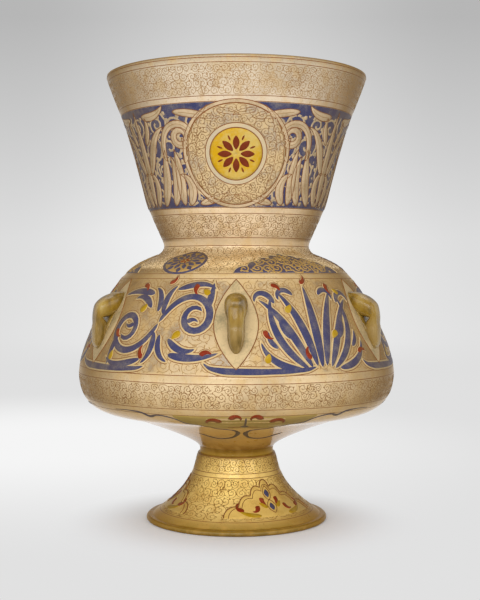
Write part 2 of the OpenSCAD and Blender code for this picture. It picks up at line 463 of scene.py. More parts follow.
@dataclass(frozen=True)
class ClearGlass(Finish):
    """Thin blown glass, faintly green."""

    tint: Colour = (0.90, 0.93, 0.84, 1.0)

    def build(self, shader: Shader) -> bpy.types.Material:
        """Clear refraction with a faint waviness and greasy patches.

        Args:
            shader: the material's empty nodes.
        Returns:
            The material.
        """
        grease = shader.noise(60, detail=4).between(0.45, 0.75)
        return shader.principled({
            "Base Color": self.tint,
            "Roughness": grease * 0.14 + 0.03,
            "IOR": 1.47,
            "Transmission Weight": 0.92,
            "Normal": shader.bump(shader.noise(70, detail=2), distance=0.0004, strength=0.3),
        })


@dataclass(frozen=True)
class SootedBrass(Finish):
    """Cut sheet brass, dulled by oil and blackened by soot."""

    bright: Colour = shown(186, 150, 84)
    dull: Colour = shown(112, 82, 44)
    soot: Colour = shown(40, 32, 26)

    def build(self, shader: Shader) -> bpy.types.Material:
        """Metal with brushed tones, tarnish in clouds and soot in the thickest of them.

        Args:
            shader: the material's empty nodes.
        Returns:
            The material.
        """
        clouds = shader.noise(170, detail=6)
        tarnish = clouds.between(0.38, 0.66)
        soot = shader.noise(90, detail=5).between(0.52, 0.74)
        tone = shader.mix(tarnish, self.bright, self.dull)
        return shader.principled({
            "Base Color": shader.mix(soot * 0.8, tone, self.soot),
            "Metallic": 1.0 - soot * 0.7,
            "Roughness": tarnish * 0.22 + 0.26,
            "Normal": shader.bump(clouds, distance=0.0001, strength=0.4),
        })


@dataclass(frozen=True)
class CottonYarn(Finish):
    """Twisted cotton, oiled below and charred at its top."""

    oiled: Colour = shown(190, 164, 112)
    clean: Colour = shown(226, 214, 186)
    char: Colour = shown(28, 24, 22)
    low: float = 0.0
    high: float = 1.0

    def build(self, shader: Shader) -> bpy.types.Material:
        """Colour along the height, fuzzed by fine noise.

        Args:
            shader: the material's empty nodes.
        Returns:
            The material.
        """
        fuzz = shader.noise(1500, detail=3)
        share = (shader.height() - self.low) * (1 / (self.high - self.low)) + (fuzz - 0.5) * 0.06
        stops = ((0.5, self.oiled), (0.84, self.clean), (0.93, self.char))
        return shader.principled({
            "Base Color": shader.ramp(share, stops),
            "Roughness": 0.9,
            "Sheen Weight": 0.3,
            "Normal": shader.bump(fuzz, distance=0.0002, strength=0.6),
        })


@dataclass(frozen=True)
class StudioPaper(Finish):
    """Pale sweep under and behind the lamp: it takes the shadow near the lamp, and far off it glows with painted
    light:
    brightest in the middle a little way up the backdrop, darker higher up and to the sides, with a painted pool of
    light on the floor to the left behind the lamp.
    """

    near: Colour = (0.845, 0.865, 0.90, 1.0)
    # Painted light: the glow's levels by height at the backdrop's sides and in its middle.
    side_levels: tuple = ((0.0, 0.735), (0.06, 0.745), (0.3, 0.72), (0.55, 0.62), (0.95, 0.47))
    middle_levels: tuple = ((0.0, 0.755), (0.04, 0.87), (0.3, 0.93), (0.55, 0.80), (0.95, 0.61))
    half_width: float = 0.66
    # Painted pool of light on the floor: its middle, colour, fade and share.
    pool: tuple[float, float, float] = (-0.22, 0.42, 0.0)
    pool_glow: Colour = (0.93, 0.93, 0.93, 1.0)
    pool_fade: tuple[float, float] = (0.1, 0.6)
    pool_share: float = 0.9
    contact: tuple[float, float, float] = (0.0, -0.02, 0.0)
    contact_fade: tuple[float, float] = (0.055, 0.15)

    def build(self, shader: Shader) -> bpy.types.Material:
        """Diffuse paper near the axis and a glow for camera, gloss and refracted rays further out, which carries the
        painted light.

        Args:
            shader: the material's empty nodes.
        Returns:
            The material.
        """
        side = shader.node("ShaderNodeSeparateXYZ", inputs={0: shader.place()}, output="X")
        aside = side.larger(side * -1.0) * (1 / self.half_width)
        # Painted light on the backdrop: brightest in the middle a little way up, darker higher up and to the sides.
        walls = [
            shader.ramp(shader.height(), [(z, (v, v, v, 1.0)) for z, v in levels])
            for levels in (self.middle_levels, self.side_levels)
        ]
        far = shader.mix(aside.between(0.0, 1.0), *walls)
        # Painted pool of light on the floor, to the left behind the lamp.
        pool = (1.0 - shader.distance(self.pool).between(*self.pool_fade)) * self.pool_share
        glow = shader.node("ShaderNodeEmission", inputs={"Color": shader.mix(pool, far, self.pool_glow)})
        matt = shader.node("ShaderNodeBsdfPrincipled", inputs={
            "Base Color": self.near,
            "Roughness": shader.noise(300, detail=2) * 0.02 + 0.85,
            "Specular IOR Level": 0.1,
        })
        share = shader.distance(self.contact).between(*self.contact_fade) * shader.seen_ray()
        return shader.done(shader.node("ShaderNodeMixShader", inputs={0: share, 1: matt, 2: glow}))


# Painted light in the glasses below: each gives off a painted glow and is darkened towards its outline by painted
# shade; GLASS also gets a painted glint under its overhang.
GLASS = BlownGlass("honey_glass", stops=(
    (0.162, shown(128, 88, 30)),
    (0.185, shown(180, 136, 66)),
    (0.22, shown(188, 146, 80)),
    (0.27, shown(204, 172, 120)),
    (0.33, shown(222, 196, 154)),
    (0.36, shown(194, 166, 120)),
    (0.52, shown(190, 162, 116)),
    # Painted light: this bright stop lightens the shoulder, which faces up.
    (0.57, shown(244, 214, 160)),
    # Painted shade: these two darker stops shade the concave waist.
    (0.612, shown(208, 180, 138)),
    (0.626, shown(204, 177, 138)),
    (0.645, shown(232, 204, 164)),
    (0.70, shown(226, 198, 158)),
    (0.92, shown(212, 192, 164)),
    (0.98, shown(206, 188, 160)),
    (1.0, shown(136, 110, 66)),
), lustre=((0.102, 0.120), (0.199, 0.220), (0.2264, 0.2446), (0.330, 0.353)),
    veiled=((0.128, 0.193),), level=((0.203, 0.2245),), glint_share=0.75)
# The foot's stronger painted glow also lightens it where the bowl shades it.
GILT_GLASS = BlownGlass("gilded_honey_glass", stops=(
    (0.0, shown(92, 70, 22)),
    (0.012, shown(140, 112, 46)),
    (0.024, shown(200, 170, 100)),
    (0.036, shown(231, 202, 128)),
    (0.08, shown(238, 206, 122)),
    (0.141, shown(220, 186, 104)),
    (0.149, shown(140, 104, 36)),
    (0.155, shown(88, 62, 16)),
    (0.166, shown(150, 112, 44)),
), smoke=shown(150, 112, 44), smoke_share=0.35, glow=0.18, edge=shown(128, 92, 20),
    lit_below=(-0.2, -0.1), lustre=((0.008, 0.053),), lustre_share=0.22, coat=0.35)
WAD_GLASS = BlownGlass("olive_wad_glass", stops=(
    (0.149, shown(160, 126, 46)),
    (0.154, shown(150, 114, 34)),
    (0.159, shown(112, 78, 10)),
    (0.165, shown(120, 84, 16)),
), smoke=shown(124, 88, 22), smoke_share=0.2, gilt_share=0.15, glow=0.25,
    edge=shown(140, 108, 40), edge_share=0.5, lit_below=(-0.2, -0.1), coat=0.1)
AMBER = AmberGlass("amber_drawn_glass")
CLEAR = ClearGlass("thin_clear_glass")
BRASS = SootedBrass("sooted_brass")
# Each enamel's colour, the one that it thins to, the share of that, its clouds to a metre and its roughness.
BLUE = Enamel("blue_enamel", shown(62, 64, 98), shown(120, 112, 110), 0.85, 120.0)
RED = Enamel("red_enamel", shown(130, 42, 18), shown(164, 78, 54), 0.7)
ROSETTE = Enamel("rosette_enamel", shown(112, 46, 22), shown(140, 64, 34), 0.5)
DISC = Enamel("yellow_disc", shown(200, 154, 20), shown(202, 180, 112), 0.75, 45.0)
YELLOW = Enamel("yellow_enamel", shown(176, 138, 20), shown(190, 160, 70), 0.7)
CREAM = Enamel("cream_enamel", shown(208, 180, 130), shown(190, 158, 104), 0.7)
CLOUDED = Enamel("clouded_reserve", shown(206, 180, 134), shown(150, 136, 100), 0.95, 75.0, edge_share=0.45)
RESERVE = Enamel("reserved_tan", shown(204, 178, 142), shown(168, 142, 106), 0.9, 70.0)
VINE_TAN = Enamel("vine_tan", shown(198, 172, 134), shown(160, 140, 114), 0.9, 70.0)
PALE = Enamel("pale_enamel", shown(202, 180, 142), shown(186, 176, 154), 0.8, 70.0)
OUTLINE = Enamel("red_brown_line", shown(130, 80, 42), shown(160, 112, 66), 0.6)
FINE_LINE = Enamel("fine_brown_line", shown(136, 96, 54), shown(184, 148, 100), 0.9, 40.0)
SOFT_LINE = Enamel("soft_brown_line", shown(156, 118, 76), shown(192, 160, 116), 0.9, 40.0)
FAINT_LINE = Enamel("faint_tan_line", shown(160, 124, 76), shown(186, 154, 106), 0.9)
OLD_GOLD = Enamel("old_gold_ground", shown(190, 152, 88), shown(164, 128, 72), 0.8, 90.0, 0.34)
GOLD = Enamel("gold_ground", shown(206, 178, 132), shown(160, 148, 136), 0.8, 60.0, 0.34)
BRIGHT_GOLD = Enamel("bright_gold_ground", shown(224, 188, 104), shown(190, 150, 72), 0.8, 90.0, 0.3)
FOOT_LINE = Enamel("foot_brown_line", shown(128, 88, 32), shown(196, 158, 84), 0.9, 60.0)
SLATE = Enamel("slate_enamel", shown(72, 66, 74), shown(120, 106, 92), 0.7)
OLIVE_WASH = Enamel("olive_wash", shown(184, 154, 84), shown(168, 142, 66), 0.8, 50.0)


class Side(Enum):
    """The two sides of a round wall, by the sign of their normal's reach from the axis."""

    OUTER = 1
    INNER = -1


class Taper(Enum):
    """How a stroke's width rises and falls: the powers of the distances from its start and its end."""

    LEAF = (0.55, 0.9)
    BLADE = (0.45, 1.1)
    VINE = (0.3, 0.3)
    COMMA = (0.28, 1.2)


class Relief(Enum):
    """Cross sections of a painted line: places across it, from -1 to 1, and heights in millimetres."""

    HAIR = ((-1, -0.02), (0, 0.12), (1, -0.02))
    OVER = ((-1, 0.22), (0, 0.38), (1, 0.22))
    UNDER = ((-1, SUNK), (-0.85, 0.10), (0.85, 0.10), (1, SUNK))
    MIDDLE = ((-1, SUNK), (-0.85, 0.20), (0.85, 0.20), (1, SUNK))
    ENAMEL = ((-1, SUNK), (-0.72, 0.28), (0, 0.40), (0.72, 0.28), (1, SUNK))
    TOP = ((-1, SUNK), (-0.72, 0.40), (0, 0.52), (0.72, 0.40), (1, SUNK))


def grid_quads(shape: Sequence[int], around: bool = False, ring: bool = False, first: int = 0) -> np.ndarray:
    """Corners of the quads of one grid of points, or of several grids alike.

    Args:
        shape: rows and columns of points, after the number of grids where there are several.
        around: joins the last column to the first.
        ring: joins the last row to the first.
        first: index of the first point.
    Returns:
        Indices of shape (quads, 4), turning left when rows run up and columns run right.
    """
    index = np.arange(math.prod(shape)).reshape(shape) + first
    if ring:
        index = np.concatenate([index, index[..., :1, :]], axis=-2)
    if around:
        index = np.concatenate([index, index[..., :1]], axis=-1)
    corners = [index[..., :-1, :-1], index[..., :-1, 1:], index[..., 1:, 1:], index[..., 1:, :-1]]
    return np.stack(corners, axis=-1).reshape(-1, 4)


def pole_fan(ring: np.ndarray, pole: int, upward: bool) -> np.ndarray:
    """Triangles from a closed ring of points to one pole point.

    Args:
        ring: indices of the ring's points.
        pole: index of the pole's point.
        upward: the fan closes the top of its wall, and otherwise its bottom.
    Returns:
        Indices of shape (triangles, 3).
    """
    after = np.roll(ring, -1)
    pole_row = np.full_like(ring, pole)
    return np.stack([ring, after, pole_row] if upward else [after, ring, pole_row], axis=-1)


def new_piece(name: str, points: np.ndarray, faces: list[np.ndarray], finish: Finish, body: str) -> bpy.types.Object:
    """Makes a mesh object from whole arrays and sets it on its body.

    Args:
        name: the piece's name.
        points: array of shape (points, 3), in metres.
        faces: arrays of corner indices, one for each number of corners.
        finish: the surface finish.
        body: the body that the piece moves with.
    Returns:
        The new object.
    """
    mesh = bpy.data.meshes.new(name)
    corners = np.concatenate([f.ravel() for f in faces]).astype(np.int32)
    sizes = np.concatenate([np.full(len(f), f.shape[1]) for f in faces])
    mesh.vertices.add(len(points))
    mesh.vertices.foreach_set("co", np.ascontiguousarray(points, np.float32).ravel())
    mesh.loops.add(len(corners))
    mesh.loops.foreach_set("vertex_index", corners)
    mesh.polygons.add(len(sizes))
    mesh.polygons.foreach_set("loop_start", (np.cumsum(sizes) - sizes).astype(np.int32))
    mesh.polygons.foreach_set("use_smooth", np.ones(len(sizes), bool))
    mesh.update(calc_edges=True)
    mesh.validate()
    mesh.materials.append(finish.material())
    piece = bpy.data.objects.new(name, mesh)
    bpy.context.scene.collection.objects.link(piece)
    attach(piece, body)
    LOG.info("%s: %d points, %d faces", name, len(points), len(sizes))
    return piece


def smooth_curve(knots: np.ndarray, step: float) -> np.ndarray:
    """Points at even steps along a smooth curve through given points.

    Between two points it is the cubic whose slopes at its ends are those of the parabola through
    each end and its two neighbours.

    Args:
        knots: array of shape (points, coordinates).
        step: wanted distance between the new points.
    Returns:
        The new points, ends included.
    """
    gaps = np.linalg.norm(np.diff(knots, axis=0), axis=1)
    along = np.concatenate([[0.0], np.cumsum(gaps)])
    slopes = np.gradient(knots, along, axis=0)
    where = np.linspace(0, along[-1], max(2, round(along[-1] / step) + 1))
    k = np.clip(np.searchsorted(along, where, "right") - 1, 0, len(gaps) - 1)
    t = ((where - along[k]) / gaps[k])[:, None]
    gap = gaps[k][:, None]
    return (
        (2 * t**3 - 3 * t**2 + 1) * knots[k]
        + (t**3 - 2 * t**2 + t) * gap * slopes[k]
        + (3 * t**2 - 2 * t**3) * knots[k + 1]
        + (t**3 - t**2) * gap * slopes[k + 1]
    )


def wall_outline(node: str, side: Side, rolled: bool = False) -> np.ndarray:
    """Radius and height of one side of a turned solid, from its lowest point along the wall.

    Points follow each other by height. Over a rolled lip the outline bends back down, so there the points
    above the widest place follow each other by how far they are in from it.

    Args:
        node: the solid's name.
        side: the outer or the inner side.
        rolled: the wall starts at a rolled lip and only narrows above it.
    Returns:
        Array of shape (points, 2), in metres.
    """
    least_lean, least_reach, level_gap = 0.02, 1e-12, 0.00002
    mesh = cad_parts[node].data
    points = np.empty(len(mesh.vertices) * 3, np.float32)
    mesh.vertices.foreach_get("co", points)
    corners = np.empty(len(mesh.loops), np.int32)
    mesh.loops.foreach_get("vertex_index", corners)
    faces = points.reshape(-1, 3)[corners.reshape(-1, 3)].astype(float)
    normal = np.cross(faces[:, 1] - faces[:, 0], faces[:, 2] - faces[:, 0])
    middle = faces.mean(axis=1)
    reach = np.hypot(middle[:, 0], middle[:, 1]) * np.linalg.norm(normal, axis=1)
    lean = (normal[:, :2] * middle[:, :2]).sum(axis=1) / np.maximum(reach, least_reach)
    chosen = faces[lean * side.value > least_lean].reshape(-1, 3)
    radius, height = np.hypot(chosen[:, 0], chosen[:, 1]), chosen[:, 2]
    order = np.lexsort((radius, height))
    radius, height = radius[order], height[order]
    new_level = (np.diff(height) > level_gap) | (np.abs(np.diff(radius)) > level_gap)
    group = np.concatenate([[0], np.cumsum(new_level)])
    count = np.bincount(group)
    radius, height = np.bincount(group, radius) / count, np.bincount(group, height) / count
    if rolled:
        widest = np.argmax(radius)
        above = height > height[widest]
        order = np.argsort(np.where(above, radius[widest] - radius, height - height[widest]))
        radius, height = radius[order], height[order]
    return np.stack([radius, height], axis=-1)


@dataclass(frozen=True)
class Skin:
    """One side of a round wall, as radius and height at even steps along its outline.

    The point at angle a and distance s is (r sin a, -r cos a, z), moved along the wall's normal by its lift.
    """

    r: np.ndarray
    z: np.ndarray
    s: np.ndarray

    @classmethod
    def along(cls, outline: np.ndarray, step: float) -> "Skin":
        """Makes a skin from an outline's points.

        Args:
            outline: radius and height, in order along the wall.
            step: distance between the skin's own points.
        Returns:
            The skin.
        """
        fine = smooth_curve(outline, step)
        gaps = np.linalg.norm(np.diff(fine, axis=0), axis=1)
        return cls(fine[:, 0], fine[:, 1], np.concatenate([[0.0], np.cumsum(gaps)]))

    def radius(self, s: np.ndarray) -> np.ndarray:
        """Radius at distances along the outline."""
        return np.interp(s, self.s, self.r)

    def at_height(self, height: float) -> float:
        """Distance along the outline at a height in millimetres."""
        return float(np.interp(height * MM, self.z, self.s))

    def girth(self, height: float) -> float:
        """Length of the line round the wall at a height, both in millimetres."""
        return TURN * float(self.radius(self.at_height(height))) / MM

    def points(self, angle: np.ndarray, s: np.ndarray, lift: np.ndarray) -> np.ndarray:
        """Places in space for arrays of angles, distances and lifts that broadcast together.

        Args:
            angle: angles round the axis, in radians.
            s: distances along the outline.
            lift: distances off the wall.
        Returns:
            Array of the arrays' common shape and 3.
        """
        angle, s, lift = np.broadcast_arrays(angle, s, lift)
        out = np.interp(s, self.s, np.gradient(self.z, self.s))
        up = -np.interp(s, self.s, np.gradient(self.r, self.s))
        size = np.maximum(np.hypot(out, up), TINY)
        r = self.radius(s) + lift * out / size
        z = np.interp(s, self.s, self.z) + lift * up / size
        return np.stack([r * np.sin(angle), -r * np.cos(angle), z], axis=-1)


@dataclass(frozen=True)
class Strokes:
    """A set of strokes with as many points each.

    path has shape (strokes, points, 2), and half, half of the width, has shape (strokes, points).
    A flat set is in millimetres, and a set on a wall has angles in radians and distances in metres.
    """

    path: np.ndarray
    half: np.ndarray

    def wider(self, extra: float) -> "Strokes":
        """The strokes with a margin on both sides."""
        return Strokes(self.path, self.half + extra)

    def scaled(self, x: float, y: float) -> "Strokes":
        """The flat strokes with their places scaled, and their widths as before."""
        return Strokes(self.path * (x, y), self.half)

    def moved(self, x: float, y: float) -> "Strokes":
        """The flat strokes moved."""
        return Strokes(self.path + (x, y), self.half)

    def mirrored(self) -> "Strokes":
        """The flat strokes and their mirror images."""
        return joined([self, self.scaled(-1, 1)])

    def half_turned(self, middle: float) -> "Strokes":
        """The flat strokes and their copies turned half round about a point at that height."""
        return joined([self, self.scaled(-1, -1).moved(0, 2 * middle)])

    def edges(self, line: float) -> "Strokes":
        """Thin lines along both edges of the flat strokes.

        Args:
            line: width of the lines.
        Returns:
            Flat strokes, the left edges and then the right ones.
        """
        way = np.gradient(self.path, axis=1)
        way /= np.maximum(np.linalg.norm(way, axis=-1, keepdims=True), TINY)
        out = np.stack([-way[..., 1], way[..., 0]], axis=-1) * self.half[..., None]
        both = np.concatenate([self.path + out, self.path - out])
        return Strokes(both, np.full(both.shape[:2], line / 2))

    def under_arch(self, width: float, height: float, margin: float) -> "Strokes":
        """The flat strokes whose middles lie under a pointed arch, by at least a margin.

        Args:
            width: width of the arch at its foot.
            height: height of its tip.
            margin: least distance below the arch.
        Returns:
            The strokes that are left.
        """
        x, y = self.path.mean(axis=1).T
        inside = y + margin < height * (1 - np.minimum(np.abs(2 * x / width), 1) ** ARCH_POWER)
        return Strokes(self.path[inside], self.half[inside])

    def ringed(self, length: float, inner: float) -> "Strokes":
        """The flat strokes of a band of that length, bent round a circle of that inner radius.

        Args:
            length: length of the band.
            inner: radius of the circle that the band's lower edge becomes.
        Returns:
            Flat strokes round the origin.
        """
        turn = self.path[..., 0] / length * TURN
        out = inner + self.path[..., 1]
        return Strokes(np.stack([out * np.sin(turn), out * np.cos(turn)], axis=-1), self.half)

    def on_band(self, skin: Skin, low: float, length: float) -> "Strokes":
        """Wraps flat strokes of a band of that length round a wall, from the height low."""
        angle = self.path[..., 0] / length * TURN
        return Strokes(np.stack([angle, skin.at_height(low) + self.path[..., 1] * MM], axis=-1), self.half)

    def on_panels(self, skin: Skin, angles: Sequence[float], height: float) -> "Strokes":
        """Lays flat strokes on a wall at angles in degrees, with their origin at a height.

        Args:
            skin: the wall.
            angles: angles of the copies, in degrees.
            height: height of the strokes' origin.
        Returns:
            Strokes on the wall, copy after copy.
        """
        s = skin.at_height(height)
        turn = self.path[..., 0] * MM / skin.radius(s)
        sets = [np.stack([turn + math.radians(a), s + self.path[..., 1] * MM], axis=-1) for a in angles]
        return Strokes(np.concatenate(sets), np.tile(self.half, (len(sets), 1)))


def lobed_arch(width: float, height: float, lobes: int, bulge: float, line: float,
               points: int = 73) -> Strokes:
    """One stroke over a pointed arch, with lobes along it.

    The arch is height (1 - |2t - 1|^ARCH_POWER) over the share t of the width, and each lobe swells out from
    it by half a sine, made fuller by a power.

    Args:
        width: width at its foot.
        height: height of its tip.
        lobes: lobes from end to end.
        bulge: how far a lobe swells.
        line: width of the line.
        points: points along it.
    Returns:
        A flat stroke from left to right, its foot at the origin's height.
    """
    fullness = 0.7
    t = np.linspace(0, 1, points)
    x, y = (t - 0.5) * width, height * (1 - np.abs(2 * t - 1) ** ARCH_POWER)
    way = np.stack([np.gradient(x), np.gradient(y)], axis=-1)
    way /= np.linalg.norm(way, axis=1, keepdims=True)
    swell = bulge * np.abs(np.sin(lobes * np.pi * t)) ** fullness
    path = np.stack([x - way[:, 1] * swell, y + way[:, 0] * swell], axis=-1)
    return Strokes(path[None], np.full((1, points), line / 2))


def almond(width: float, height: float, line: float, points: int = 25) -> Strokes:
    """The two sides of an upright almond, each a bow of half a sine, from its lower tip at the origin.

    Args:
        width: width at its middle.
        height: height of its upper tip.
        line: width of the line.
        points: points along a side.
    Returns:
        Two flat strokes.
    """
    fullness = 0.9
    t = np.linspace(0, 1, points)
    bow = np.stack([width / 2 * np.sin(np.pi * t) ** fullness, height * t], axis=-1)
    return Strokes(bow[None], np.full((1, points), line / 2)).mirrored()


def joined(sets: Sequence[Strokes]) -> Strokes:
    """One set of strokes from several with as many points each."""
    return Strokes(np.concatenate([x.path for x in sets]), np.concatenate([x.half for x in sets]))


def drawn(knots: Sequence[tuple], step: float) -> Strokes:
    """One flat stroke on a smooth curve through knots, each a place and half a width."""
    curve = smooth_curve(np.array(knots, float), step)[None]
    return Strokes(curve[..., :2], curve[..., 2])


def volutes(rows: Sequence[tuple], points: int = 36) -> Strokes:
    """Strokes whose turning grows steadily along them.

    The heading at the share t of the length is heading + turn t + curl t^2 degrees, and the line is the sum
    of short steps that way. The width is the widest width times powers of t and 1 - t, scaled to reach 1.

    Args:
        rows: for each stroke x, y, heading, length, turn, curl, widest width and its taper, unless that is
            a leaf's.
        points: points along a stroke.
    Returns:
        Flat strokes.
    """
    filled = [row if isinstance(row[-1], Taper) else (*row, Taper.LEAF) for row in rows]
    numbers = np.array([(*row[:-1], *row[-1].value) for row in filled], float)
    x, y, heading, length, turn, curl, width, rise, fall = (column[:, None] for column in numbers.T)
    t = np.linspace(0, 1, points)
    way = np.radians(heading + turn * t + curl * t**2)
    way = (way[:, 1:] + way[:, :-1]) / 2
    steps = np.stack([np.cos(way), np.sin(way)], axis=-1) * (length / (points - 1))[..., None]
    start = np.stack([x, y], axis=-1)
    path = np.concatenate([start, start + np.cumsum(steps, axis=1)], axis=1)
    peak = rise / (rise + fall)
    shape = t**rise * (1 - t) ** fall / (peak**rise * (1 - peak) ** fall)
    return Strokes(path, width / 2 * shape)


def leaves(base: np.ndarray, heading: np.ndarray, length: float, width: float, points: int = 5) -> Strokes:
    """Small pointed leaves: straight strokes, widest at their middle.

    Args:
        base: flat places of their roots, of shape (leaves, 2).
        heading: directions in radians, of shape (leaves,).
        length: length of a leaf.
        width: widest width.
        points: points along a leaf.
    Returns:
        Flat strokes.
    """
    t = np.linspace(0, 1, points)
    way = np.stack([np.cos(heading), np.sin(heading)], axis=-1)
    path = base[:, None] + way[:, None] * (t * length)[:, None]
    half = np.sin(np.pi * np.clip(t, 0.02, 0.98)) * width / 2
    return Strokes(path, np.tile(half, (len(base), 1)))


def star(count: int, start: float, length: float, width: float, points: int = 10,
         between: bool = False) -> Strokes:
    """Pointed leaves all round a middle, at even angles.

    Args:
        count: leaves in the round.
        start: distance of their roots from the middle.
        length: length of a leaf.
        width: widest width.
        points: points along a leaf.
        between: sets them off by half a step.
    Returns:
        Flat strokes.
    """
    heading = (np.arange(count) + 0.5 * between) * TURN / count
    root = np.stack([np.cos(heading), np.sin(heading)], axis=-1) * start
    return leaves(root, heading, length, width, points)


def dense_scroll(length: float, height: float, cell: float, line: float, seed: int = 0) -> list[Strokes]:
    """A band filled with fine spirals and small leaves, close together and uneven as drawn by hand.

    Spirals sit in rows, every other row set off by half a step, each moved, sized, turned and wound a little
    by chance. The radius of a spiral falls with a power of the share t of its length. Leaves lean to either
    side of it at some of its points.

    Args:
        length: length of the band.
        height: height of the band.
        cell: wanted distance between spirals.
        line: width of the lines.
        seed: start of the chances.
    Returns:
        Sets of flat strokes: spirals and leaves.
    """
    points, bud_length, bud_width = 22, 0.24 * cell, 1.9 * line
    picks, leans = np.array([1, 4, 8, 12]), np.array([0.8, -0.8, 0.8, -0.8])
    chance = np.random.default_rng(seed)
    rows, columns = max(1, round(height / cell)), round(length / cell)
    j, i = (g.reshape(-1, 1) for g in np.mgrid[:rows, :columns])
    pitch, row, count = length / columns, height / rows, rows * columns

    def spread(low: float, high: float) -> np.ndarray:
        """One number for each spiral, by chance."""
        return chance.uniform(low, high, (count, 1))

    x = (i + 0.5 * (j % 2) + spread(-0.16, 0.16)) * pitch
    y = (j + 0.5 + spread(-0.1, 0.1)) * row
    t = np.linspace(0, 1, points)
    wind = np.where(spread(-1, 1) > 0, 1.0, -1.0)
    angle = spread(0, TURN) + wind * TURN * spread(1.5, 2.1) * t
    out = min(pitch, row) * spread(0.48, 0.58) * (1.28 - 1.14 * t**0.8)
    path = np.stack([x + out * np.cos(angle), np.clip(y + out * np.sin(angle), 0, height)], axis=-1)
    heading = angle[:, picks] + leans * wind
    buds = leaves(path[:, picks].reshape(-1, 2), heading.reshape(-1), bud_length, bud_width)
    buds.path[..., 1] = np.clip(buds.path[..., 1], 0, height)
    return [Strokes(path, np.full(path.shape[:2], line / 2)), buds]


